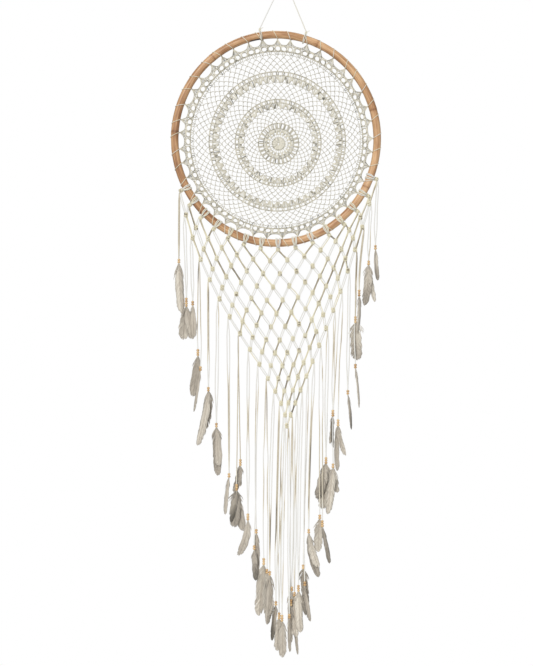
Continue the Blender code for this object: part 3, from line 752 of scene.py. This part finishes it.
def net_link(soup, upper, lower, upper_way, lower_way, crowd, shaded_close_chance):
    """Two taut cords side by side from one knot to the next."""
    side = 1.0 if lower[0] > upper[0] else -1.0
    start = upper + upper_way @ np.array([side * 0.0022, 0.0, -0.0046]) * crowd
    end = lower + lower_way @ np.array([-side * 0.0022, 0.0, 0.0046]) * crowd
    length = np.linalg.norm(end - start)
    steps = max(8, int(length / 0.0016))
    share = np.linspace(0.0, 1.0, steps)[:, None]
    straight = start + (end - start) * share
    lateral = unit(np.cross(end - start, Y))
    bow = lateral * (dice.uniform(-0.0006, 0.0006) * np.sin(np.pi * share))
    spread = 0.00140 + dice.uniform(0.0004, 0.0014) * np.sin(np.pi * share) ** 0.4
    closed = dice.random() < shaded_close_chance  # in some links the two cords lie close together, and are darker
    if closed:
        spread = NET_CORD * (0.55 + 0.45 * np.abs(np.cos(np.pi * share)))
    for which in (-1.0, 1.0):
        apart = spread * which * crowd
        depth = Y * (0.0007 * which * np.sin(np.pi * share) if closed else 0.0003 * which)
        # Close links are painted darker: painted shade between their two cords.
        tone = streaks(steps, length, 0.06 + 1.0 * closed, 0.40, 0.02 + 0.25 * closed)
        line = straight + bow + lateral * apart + depth
        soup.tube(line, NET_CORD, 7, tone, plies=2, seed=dice.uniform(0, 9))


def tilted(angle):
    """Columns are the directions across, back and up of a knot with that tilt."""
    across = np.array([math.cos(angle), 0.0, math.sin(angle)])
    upward = np.array([-math.sin(angle), 0.0, math.cos(angle)])
    return np.stack([across, Y, upward], 1)


def make_net(material):
    """Three pieces: the heads that stay on the hoop, those that turn with the curtain, and the rest."""
    knots, ways, crowds = {}, {}, {}
    for row in range(HEADS):
        for column in range(HEADS - row):
            knots[row, column] = net_knot(row, column)
            ways[row, column] = knot_tilt(row, column)
            crowds[row, column] = 1.0 - 0.16 * smooth((row - 7) / 7)
    swinging, resting, bending = Soup(), Soup(), Soup()

    def piece_of(row, column, link=False):
        if row == 0 and column in CURTAIN_HEADS:
            return swinging
        return resting if row == 0 and not link else bending

    for index in range(HEADS):
        lark_head(piece_of(0, index), index)
    for (row, column), spot in knots.items():
        wide, tall = 0.0108 * crowds[row, column] ** 0.5, 0.0148 * dice.uniform(0.90, 1.06)
        tall *= 0.80 if row == 0 else 1.0
        shade = 0.30 + dice.uniform(-0.05, 0.05)
        square_knot(piece_of(row, column), spot, wide, tall, ways[row, column], shade)
    for row in range(HEADS - 1):
        for column in range(HEADS - 1 - row):
            for above in (column, column + 1):
                upper, lower = (row, above), (row + 1, column)
                crowd = (crowds[upper] + crowds[lower]) / 2
                soup = piece_of(row, above, link=True)
                # The chance that a link's two cords lie close, where they are painted darker as shade between
                # them.
                if above > column:  # on the diagonals that run down to the left
                    shaded_close_chance = 0.12 + 0.50 * smooth((row + above - 6) / 6)
                else:
                    shaded_close_chance = 0.12 + 0.50 * (row < 3 and above < 6)
                turns = tilted(ways[upper]), tilted(ways[lower])
                net_link(soup, knots[upper], knots[lower], *turns, crowd, shaded_close_chance)
    resting.piece("net_heads", material, "hoop", "cotton", "net_wing_left", "net_wing_right")
    swinging.piece("net_middle_heads", material, "curtain", "cotton", "net_curtain")
    body = bending.build("net_cords", material)
    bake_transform(body)


# The hanging cords. DROPS has a pair of cords for each knot of the net's two edges, by the row of the knot.
# A pair has one drop, or two where each cord ends at its own height. A drop is (length from the knot's
# underside, sideways drift, beads, and its feathers). A feather is (length, width, lean outward in degrees,
# twist in degrees, outward bend of its tip), and a sixth value, where there is one, is its darkness.

DROPS = {
    "left": (
        [(0.186, -0.001, 2, (0.146, 0.028, -1, 12, -0.006, 0.16))],
        [(0.228, 0.006, 4, (0.096, 0.032, 4, 10, 0.002, 0.12), (0.096, 0.026, -9, 20, -0.003, 0.24))],
        [(0.172, 0.005, 2, (0.094, 0.022, -3, 30, 0.002, 0.22))],
        [(0.248, -0.003, 3, (0.118, 0.026, 3, 10, 0.008)),
         (0.297, 0.004, 2, (0.120, 0.012, 4, 50, 0.016))],
        [(0.298, 0.001, 2, (0.116, 0.027, 1, 10, 0.012, 0.36), (0.158, 0.026, 3, 22, 0.024, 0.26))],
        [(0.346, -0.004, 2, (0.112, 0.026, -2, 12, -0.003, 0.22), (0.140, 0.023, -1, 20, -0.002, 0.42))],
        [(0.438, 0.003, 2, (0.108, 0.017, 3, 40, 0.006, 0.30))],
        [(0.350, 0.006, 3, (0.080, 0.022, 6, 15, 0.010, 0.50), (0.060, 0.016, -2, 25, 0.002, 0.42)),
         (0.421, -0.005, 3,
             (0.106, 0.034, 1, 8, 0.004, 0.34),
             (0.118, 0.024, -7, 20, -0.004, 0.26),
             (0.092, 0.018, 7, 25, 0.006, 0.50))],
        [(0.460, -0.001, 3, (0.102, 0.026, 1, 15, 0.026, 0.24))],
        [(0.462, -0.004, 2, (0.128, 0.020, 2, 25, -0.002, 0.34)),
         (0.508, -0.010, 2, (0.090, 0.018, -4, 30, 0.002))],
        [(0.505, -0.007, 3, (0.148, 0.031, 3, 8, 0.006, 0.16)),
         (0.536, 0.002, 2, (0.124, 0.032, -3, 14, 0.002, 0.14))],
        [(0.505, -0.011, 2, (0.142, 0.024, 2, 22, 0.003, 0.36))],
        [(0.556, -0.010, 2, (0.102, 0.017, 4, 35, 0.004, 0.5))],
        [(0.556, -0.012, 3, (0.092, 0.028, 2, 10, 0.002, 0.18), (0.086, 0.022, -5, 25, -0.002, 0.26))],
        [(0.530, -0.009, 3, (0.104, 0.024, -1, 12, 0.001, 0.24))],
    ),
    "right": (
        [(0.180, -0.007, 2, (0.090, 0.016, 2, 25, 0.004, 0.14))],
        [(0.154, -0.007, 2, (0.118, 0.026, -4, 15, -0.004, 0.20), (0.108, 0.018, 6, 30, 0.008, 0.08))],
        [(0.170, -0.014, 3, (0.108, 0.015, -2, 50, -0.003, 0.16))],
        [(0.182, -0.004, 3, (0.108, 0.032, 0, 10, 0.004, 0.08)),
         (0.318, -0.004, 2, (0.115, 0.012, 2, 60, 0.012))],
        [(0.332, -0.005, 2, (0.102, 0.013, 2, 55, 0.010))],
        [(0.358, -0.012, 3, (0.086, 0.019, 3, 25, 0.018, 0.18), (0.130, 0.018, -2, 30, 0.004, 0.34)),
         (0.484, -0.026, 2, (0.134, 0.024, -4, 15, -0.006, 0.14), (0.074, 0.020, 6, 20, 0.005, 0.20))],
        [(0.276, -0.006, 3, (0.092, 0.015, 0, 50, 0.002, 0.62), (0.080, 0.012, -5, 40, -0.002, 0.44))],
        [(0.360, -0.005, 3, (0.132, 0.034, -2, 6, -0.006, 0.14), (0.106, 0.028, -8, 8, -0.010, 0.24))],
        [(0.491, 0.004, 3, (0.108, 0.015, 8, 25, 0.006, 0.58)),
         (0.475, -0.003, 2, (0.096, 0.027, -2, 10, -0.001, 0.22))],
        [(0.470, -0.016, 2, (0.102, 0.026, 8, 10, 0.014, 0.14), (0.130, 0.025, 6, 20, 0.016, 0.38))],
        [(0.530, -0.014, 2, (0.112, 0.022, 3, 14, 0.004, 0.40)),
         (0.578, -0.009, 2, (0.104, 0.019, 7, 30, 0.004, 0.5))],
        [(0.548, -0.011, 3, (0.118, 0.024, 2, 12, 0.002, 0.12), (0.072, 0.012, 15, 25, 0.002, 0.34))],
        [(0.532, -0.007, 2, (0.118, 0.022, 1, 15, 0.003, 0.24))],
        [(0.482, -0.002, 2, (0.128, 0.020, 0, 20, 0.002, 0.20)),
         (0.518, -0.004, 3, (0.108, 0.020, -1, 15, 0.001, 0.36), (0.142, 0.012, 5, 40, 0.008, 0.46))],
        [(0.528, 0.002, 2, (0.098, 0.014, 1, 45, 0.001, 0.30))],
    ),
}

# The ten innermost pairs hang two by two on the middle bodies. Each pair is (side, row).
BUNDLES = {
    "centre_1": (("left", 10), ("left", 11)),
    "centre_2": (("left", 12), ("left", 13)),
    "centre_3": (("left", 14), ("right", 14)),
    "centre_4": (("right", 13), ("right", 12)),
    "centre_5": (("right", 11), ("right", 10)),
}
OUTER_ROWS = range(10)  # each of these pairs has a body of its own
PAIR_GAP = 0.0034  # half the space between the two cords of a pair
# How far back these hang, so that their feathers lie behind or before their neighbours'
LAYERS = {
    "centre_2": 0.0035,
    "centre_3": -0.0085,
    "centre_4": 0.0040,
    "right_08": 0.0085,
    "right_10": -0.0050,
}
PAIR_DEPTH = 0.0018  # on a middle body, one pair hangs this far in front, the other this far behind


def closeness(height, meetings):
    """1 where the two cords of a pair lie one behind the other, 0 where they hang apart."""
    near = np.zeros_like(height)
    for middle, reach in meetings:
        near = np.maximum(near, smooth((reach - np.abs(height - middle)) / 0.085))
    return near


def strand_line(knot, outside, length, drift, which, layer, meetings):
    """The line of one cord of a pair, from under its knot down to its beads."""
    top = knot + np.array([outside * KNOT_OFFSET, 0.0, -KNOT_CLEARANCE])
    steps = max(24, int(length / 0.0016))
    share = np.linspace(0.0, 1.0, steps)
    near = closeness(length * share, meetings)
    part = PAIR_GAP * which * (smooth(share / 0.12) * 0.75 + 0.25)
    part = part * smooth((1.0 - share) / 0.35 + 0.12) * (1.0 - 0.57 * near)
    wave = np.sin(share * dice.uniform(4, 9) + dice.uniform(0, 6))
    wander = 0.0008 * np.sin(np.pi * share) * wave * (1.0 - near)
    x = top[0] + drift * np.sin(np.pi / 2 * share) + part + wander
    depth = layer * smooth(share * 1.6) + 0.0010 * which * np.sin(np.pi * share) - 0.0005 * which * near
    line = np.stack([x, depth, top[2] - length * share], -1)
    root = knot + np.array([outside * (0.0020 + 0.0010 * which * outside), -0.0003, -0.0036])
    lead = root + (line[0] - root) * np.linspace(0.0, 0.85, 5)[:, None]
    return np.concatenate([lead, line])


def bead_stack(soup, spot, count):
    """Turned wooden beads, one under the other, a little unequal."""
    for bead in range(count):
        size = dice.uniform(0.92, 1.08)
        middle = spot - Z * BEAD_HEIGHT * (bead + 0.5)
        height = BEAD_HEIGHT * 0.49
        turn = np.linspace(-1.0, 1.0, 11)
        outline = BEAD_RADIUS * size * (0.30 + 0.70 * np.sqrt(np.maximum(0.0, 1 - np.abs(turn) ** 2.1)))
        shape = [(0.0, -height * 0.90), *zip(outline, height * turn), (0.0, height * 0.90)]
        lean = (dice.uniform(-0.08, 0.08), dice.uniform(-0.05, 0.05), 1.0)
        soup.turned(middle, shape, 14, lean, dice.uniform(-0.12, 0.12), dice.uniform(0, 5))


def width_at(share, width, full, widest):
    """Half the feather's width at a share of its length: wide from full to widest, and round below."""
    grown = 0.25 + 0.75 * smooth(share / full)
    rounded = np.sqrt(np.maximum(0.0, 1.0 - np.maximum(0.0, (share - widest) / (1.0 - widest)) ** 2.8))
    return width / 2 * grown * rounded


def make_feather(vane, shaft, root, feather, outside, depth, behind):
    """One feather that hangs from its root: a bent shaft with barbs on both sides, split here and there."""
    length, width, lean, twist, bend, *shades = feather
    lean, twist = math.radians(-outside * lean), math.radians(twist * dice.choice([-1, 1]))
    cosine, sine = math.cos(twist), math.sin(twist)
    turn = np.array([[cosine, -sine, 0], [sine, cosine, 0], [0, 0, 1]])
    slant = np.array([[math.cos(lean), 0, math.sin(lean)], [0, 1, 0], [-math.sin(lean), 0, math.cos(lean)]])
    matrix = slant @ turn
    belly = dice.uniform(0.02, 0.05) * length * dice.choice([-1, 1])
    if behind:  # it bows back, clear of the beads of the cord beside it
        belly = 0.06 * length
    shade = shades[0] if shades else dice.uniform(0.04, 0.44)
    full, widest = dice.uniform(0.14, 0.60), dice.uniform(0.60, 0.78)
    burnt = dice.choice([0.0, 0.12, 0.45])

    def shaft_at(share):
        share = np.asarray(share, float)
        return np.stack([outside * bend * share**2, belly * np.sin(np.pi * share * 0.9), -length * share], -1)

    def put(points):
        return points @ matrix.T + root + Y * depth

    steps = np.linspace(0.0, 0.985, 30)
    thick = 0.00085 * (1 - 0.86 * steps) + 0.00008
    shaft.tube(put(shaft_at(steps)), thick, 6, 0.20 + 0.35 * shade + 0.25 * steps, flat=0.8, up=matrix @ Y)
    for side in (-1.0, 1.0):
        narrow = 1.0 if side * dice.choice([-1, 1]) > 0 else dice.uniform(0.62, 0.9)
        darker = dice.uniform(-0.05, 0.14)
        count = int(30 + length * 150)
        start = np.linspace(0.015, 0.965, count)
        sweep = 0.13 + 0.07 * (1 - start) + dice.normal(0.0, 0.004, count)
        for _ in range(dice.poisson(2.4)):
            split = dice.uniform(0.25, 0.95)
            sweep = sweep + 0.040 * smooth((split - start) / 0.01) * smooth((start - split + 0.12) / 0.1)
        tip = np.minimum(start + sweep * np.minimum(1.0, 2.2 * (1.02 - start) + 0.25), 1.0)
        ragged = 1 + dice.normal(0.0, 0.025, count)
        ragged = ragged + 0.07 * np.sin(start * dice.uniform(9, 30) + dice.uniform(0, 6))
        for _ in range(dice.poisson(1.2)):
            notch = dice.uniform(0.3, 0.95)
            ragged = ragged * (1 - dice.uniform(0.12, 0.4) * smooth(1.2 - np.abs(start - notch) / 0.035))
        reach = width_at(tip, width, full, widest) * narrow * ragged
        short = start < 0.13  # the down at the base
        down = np.maximum(reach, 0.16 * width) * dice.uniform(0.75, 1.5, count)
        reach = np.where(short, down, reach)
        share = np.linspace(0.0, 1.0, 7)
        along = start[:, None] + (tip - start)[:, None] * (0.45 * share + 0.55 * share**1.7)
        lateral = side * reach[:, None] * (1.25 * share - 0.25 * share**2.5)
        spine = shaft_at(along)
        spine[..., 0] += lateral
        camber = 0.16 * np.abs(lateral) * share * np.sign(belly) * -1
        spine[..., 1] += camber + dice.normal(0.0, 0.00022, (count, 1)) * share
        fluff = (short[:, None] * share**1.5) * dice.normal(0.0, 0.0018, (count, 1))
        spine[..., 1] += fluff
        spacing = 0.5 * length * (start[1] - start[0])
        wide = spacing * (1.45 - 0.25 * share[None]) * (1 - 0.72 * smooth((share[None] - 0.72) / 0.28))
        wide = wide * np.where(short[:, None], 0.7, 1.0)
        stripe = 0.22 * np.exp(-((share / 0.15) ** 2)) + 0.10 * smooth((share - 0.7) / 0.3)
        ends = burnt * smooth((tip[:, None] - 0.45) / 0.55) + 0.10 * (start[:, None] < 0.08)
        tone = shade + darker + stripe[None] + ends + dice.normal(0.0, 0.05, (count, 1))
        vane.tube(put(spine), wide, 4, tone, flat=0.16, up=matrix @ Y, seed=dice.uniform(0, 20))


def bind_feather(binding, base):
    """The thread that ties a feather on, in four turns."""
    turn = np.linspace(0, 2 * np.pi * 4, 44)
    coil = np.stack([0.0013 * np.cos(turn), 0.0013 * np.sin(turn), 0.0022 - 0.00012 * np.arange(44)], -1)
    binding.tube(base - 0.0035 * Z + coil, 0.00035, 5, 0.3)


def make_pair(label, side, row, materials, layer, order):
    """Two cords from one knot, with their beads and feathers."""
    outside = LEFT if side == "left" else RIGHT
    knot = net_knot(row, 0 if side == "left" else HEADS - 1 - row)
    drops = DROPS[side][row]
    body = f"strand_{label}"
    vane, shaft, binding = materials["soups"]
    beads_of, made = {}, []
    shortest = min(drop[0] for drop in drops)
    meetings = []
    for _ in range(dice.poisson(shortest * 3.2)):
        meetings.append((dice.uniform(0.1, 0.95) * shortest, dice.uniform(0.07, 0.20)))
    for which in (-1.0, 1.0):
        drop = drops[0] if len(drops) == 1 or which == outside else drops[1]
        length, drift, count, *feathers = drop
        shorter = 0.0 if which == outside or len(drops) > 1 else 0.0012
        line = strand_line(knot, outside, length - shorter, drift, which, layer, meetings)
        measured = float(np.linalg.norm(np.diff(line, axis=0), axis=1).sum())
        near = closeness(np.linspace(0.0, length, len(line)), meetings)
        # Where the two cords lie close together they are painted darker: painted shade between them.
        tone = np.clip(streaks(len(line), measured, measured * 1.3, 0.55, 0.02) + 0.42 * near, 0.0, 1.0)
        strand = Soup()
        strand.tube(line, STRAND_CORD, 7, tone, plies=3, seed=dice.uniform(0, 9))
        name = f"{label}_{order + 1}{'a' if which < 0 else 'b'}"
        cord = strand.piece(f"cord_{name}", materials["cord"], body, "cotton")
        made.append((cord, line, measured, which))
        if len(drops) > 1 or which == outside:
            end = line[-1] + 0.0002 * Z
            beads = Soup()
            bead_stack(beads, end, count)
            beads_of[which] = beads.piece(f"beads_{name}", materials["bead"], body, "feather")
            base = end - (BEAD_HEIGHT * count - 0.002) * Z
            bowed = len(drops) > 1 and length == shortest
            for place, feather in enumerate(feathers):
                shift = 0.0022 * place * (1 if place % 2 else -1)
                make_feather(vane, shaft, base, feather, outside, shift, bowed)
                bind_feather(binding, base + Y * shift)
    return [(*cord, beads_of.get(which, beads_of[outside])) for *cord, which in made]


def make_strand_body(label, pairs, materials):
    """The pairs of cords that swing together."""
    vane, shaft, binding = Soup(), Soup(), Soup()
    materials = dict(materials, soups=(vane, shaft, binding))
    body = f"strand_{label}"
    cords = []
    for order, (side, row) in enumerate(pairs):
        layer = LAYERS.get(label, 0.0) + PAIR_DEPTH * (2 * order - 1)
        cords += make_pair(label, side, row, materials, layer, order)
    vane.piece(f"feather_vanes_{label}", materials["vane"], body, "feather", f"feathers_{label}")
    shaft.piece(f"feather_shafts_{label}", materials["quill"], body, "feather")
    binding.piece(f"feather_bindings_{label}", materials["cord"], body, "feather")
    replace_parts(cords[0][0], f"cord_{label}")
    return cords


def make_strands(materials):
    for side in ("left", "right"):
        for row in OUTER_ROWS:
            make_strand_body(f"{side}_{row + 1:02d}", [(side, row)], materials)
    for label, pairs in BUNDLES.items():
        make_strand_body(label, pairs, materials)


# The hanger


def make_hanger(material):
    top = np.array([0.0, 0.0, -0.0366])
    eye = Soup()
    turn = circle(44)
    across = 0.0085 * np.sin(turn) * (1 - 0.25 * np.cos(turn))
    loop = np.stack([across, 0.0006 * np.sin(2 * turn), -0.0115 - 0.013 * np.cos(turn)], -1)
    eye.tube(loop, HANGER_CORD, 8, 0.15, closed=True, plies=2)
    for level, phase in ((-0.0262, 0.0), (-0.0288, 0.9), (-0.0314, 1.8)):
        spin = circle(20)
        height = level + 0.0009 * np.sin(spin + phase)
        ring = np.stack([0.0037 * np.cos(spin), 0.0037 * np.sin(spin), height], -1)
        eye.tube(ring, 0.0015, 7, 0.2, closed=True, plies=2)
    core = np.array([(0.0, 0.0, -0.0235), (0.0007, 0.0, -0.027), (-0.0004, 0.0, -0.031), (0.0, 0.0, -0.0345)])
    eye.tube(core, 0.0021, 8, 0.2)
    eye.piece("hanging_loop_cord", material, "loop", "cotton", "hanging_loop")
    legs, ties = Soup(), Soup()
    for side, degrees in TIE_ANGLES.items():
        knot = hoop_place(degrees, 0.0195)
        way = unit(top - knot)
        end = knot + way * 0.0030
        share = np.linspace(0.0, 1.0, 90)[:, None]
        bow = np.array([0.0, 0.0, -0.0006]) * np.sin(np.pi * share)
        line = top + (end - top) * share + bow + np.array([-0.0008 if side == "left" else 0.0008, 0.0, 0.0])
        legs.tube(line, HANGER_CORD, 8, streaks(90, 0.1, 0.4, 0.2, 0.0), plies=2)
        make_tie(ties, degrees, knot)
    legs.piece("hanger_legs", material, "hanger", "cotton", "hanger_cord")
    ties.piece("hanger_ties", material, "hoop", "cotton", "hanger_tie_left", "hanger_tie_right")


def make_tie(soup, degrees, knot):
    """Three turns round the rattan, a small overhand knot on top and its short tail."""
    reach = RATTAN_RADIUS + 0.0012 + 0.0019
    gather = 0.5 + 0.5 * smooth((1 - np.cos(WRAP)) / 1.2)
    for offset in (-0.0022, 0.0, 0.0023):
        lean = np.degrees((offset + 0.0018 * np.sin(WRAP + offset * 900)) / HOOP_HALF_WIDTH)
        spots = round_rattan(degrees + lean * gather, reach, WRAP)
        soup.tube(spots, 0.0010, 6, 0.15, closed=True, plies=2)
    inner = hoop_place(degrees, reach + 0.0008)
    for blend_share in (0.1, 0.5, 0.9):
        centre = inner + (knot - inner) * blend_share
        soup.tube(small_loop(centre, 0.0024, 16), 0.00115, 6, 0.2, closed=True)
    tail = ((0.0, -0.001, 0.0), (0.003, -0.002, 0.0012), (0.006, -0.0024, 0.0030), (0.0095, -0.002, 0.0036))
    soup.tube(knot + np.array(tail), 0.0009, 6, 0.2)


# The studio

AMBIENT = 0.42  # strength of the white world, apart from where the camera sees it
FLOOR_DROP = 0.35  # from the lowest feather to the floor


def add_sun(name, way, strength, spread):
    data = bpy.data.lights.new(name, "SUN")
    data.energy = strength
    data.angle = math.radians(spread)
    light = bpy.data.objects.new(name, data)
    bpy.context.scene.collection.objects.link(light)
    light.rotation_mode = "QUATERNION"
    light.rotation_quaternion = Vector(way).to_track_quat("-Z", "Y")


def make_studio():
    scene = bpy.context.scene
    world = bpy.data.worlds.new("white_studio")
    world.use_nodes = True
    tree = world.node_tree
    background = tree.nodes["Background"]
    background.inputs["Color"].default_value = (1.0, 1.0, 1.0, 1.0)
    path = tree.nodes.new("ShaderNodeLightPath")
    strength = tree.nodes.new("ShaderNodeMapRange")
    strength.inputs["To Min"].default_value = AMBIENT
    strength.inputs["To Max"].default_value = 1.0
    tree.links.new(path.outputs["Is Camera Ray"], strength.inputs["Value"])
    tree.links.new(strength.outputs["Result"], background.inputs["Strength"])
    scene.world = world
    scene.view_settings.view_transform = "Standard"
    add_sun("key", (0.42, 1.0, -0.55), 2.1, 24)
    add_sun("fill", (-0.5, 1.0, 0.15), 0.45, 40)
    add_sun("rim", (0.1, -1.0, -0.8), 0.5, 40)
    mesh = bpy.data.meshes.new("studio_floor")
    reach = 1.1
    back = reach * 0.6
    corners = [(-reach, -reach, 0), (reach, -reach, 0), (reach, back, 0), (-reach, back, 0)]
    mesh.from_pydata(corners, [], [(0, 1, 2, 3)])
    floor = bpy.data.objects.new("studio_floor", mesh)
    floor.location = (0.0, 0.0, cad_low.z - FLOOR_DROP)
    scene.collection.objects.link(floor)
    shader = Shader("studio_floor")
    cloud = shader.noise(shader.node("ShaderNodeTexCoord").outputs["Object"], 2.0)
    stops = ((0.0, (0.86, 0.86, 0.85)), (1.0, (0.90, 0.90, 0.89)))
    shader.set(Base_Color=shader.ramp(cloud, stops), Roughness=0.8)
    mesh.materials.append(shader.material)


def make_camera():
    """Straight on, from far enough that the view is nearly flat."""
    distance, tall = 6.0, 1.9014  # how far in front, and the height of the view at the object
    data = bpy.data.cameras.new("camera")
    data.sensor_fit = "AUTO"
    data.sensor_width = 36.0
    data.lens = data.sensor_width * distance / tall
    data.clip_end = 50.0
    camera = bpy.data.objects.new("camera", data)
    camera.location = (-0.0500, -distance, -1.0492)
    camera.rotation_euler = (math.radians(90), 0.0, 0.0)
    bpy.context.scene.collection.objects.link(camera)
    bpy.context.scene.camera = camera


def main():
    make_camera()
    make_studio()
    white, cream = (0.77, 0.76, 0.72), (0.80, 0.75, 0.56)
    olive, taupe = (0.46, 0.40, 0.29), (0.20, 0.17, 0.125)
    net_cotton = cotton("cotton_cord", ((0.06, white), (0.30, cream), (0.62, olive), (1.0, taupe)))
    strand_stops = ((0.06, white), (0.30, (0.70, 0.645, 0.52)), (0.62, (0.44, 0.375, 0.27)), (1.0, taupe))
    strand_cotton = cotton("strand_cord", strand_stops)
    web_stops = ((0.0, (0.80, 0.765, 0.65)), (0.5, (0.43, 0.40, 0.32)), (1.0, (0.11, 0.105, 0.08)))
    web_cotton = cotton("crochet_cotton", web_stops)
    vane_stops = ((0.05, (0.76, 0.702, 0.598)), (0.44, (0.49, 0.438, 0.366)), (1.0, (0.14, 0.125, 0.102)))
    quill_stops = ((0.0, (0.66, 0.60, 0.50)), (0.5, (0.46, 0.40, 0.32)), (1.0, (0.17, 0.14, 0.11)))
    materials = {
        "cord": strand_cotton,
        "bead": bead_material(),
        "vane": feather_material("feather_vane", vane_stops),
        "quill": feather_material("feather_quill", quill_stops),
    }
    make_rattan(rattan_material())
    make_lacing(net_cotton)
    make_web(web_cotton)
    make_net(net_cotton)
    make_hanger(net_cotton)
    make_strands(materials)


main()
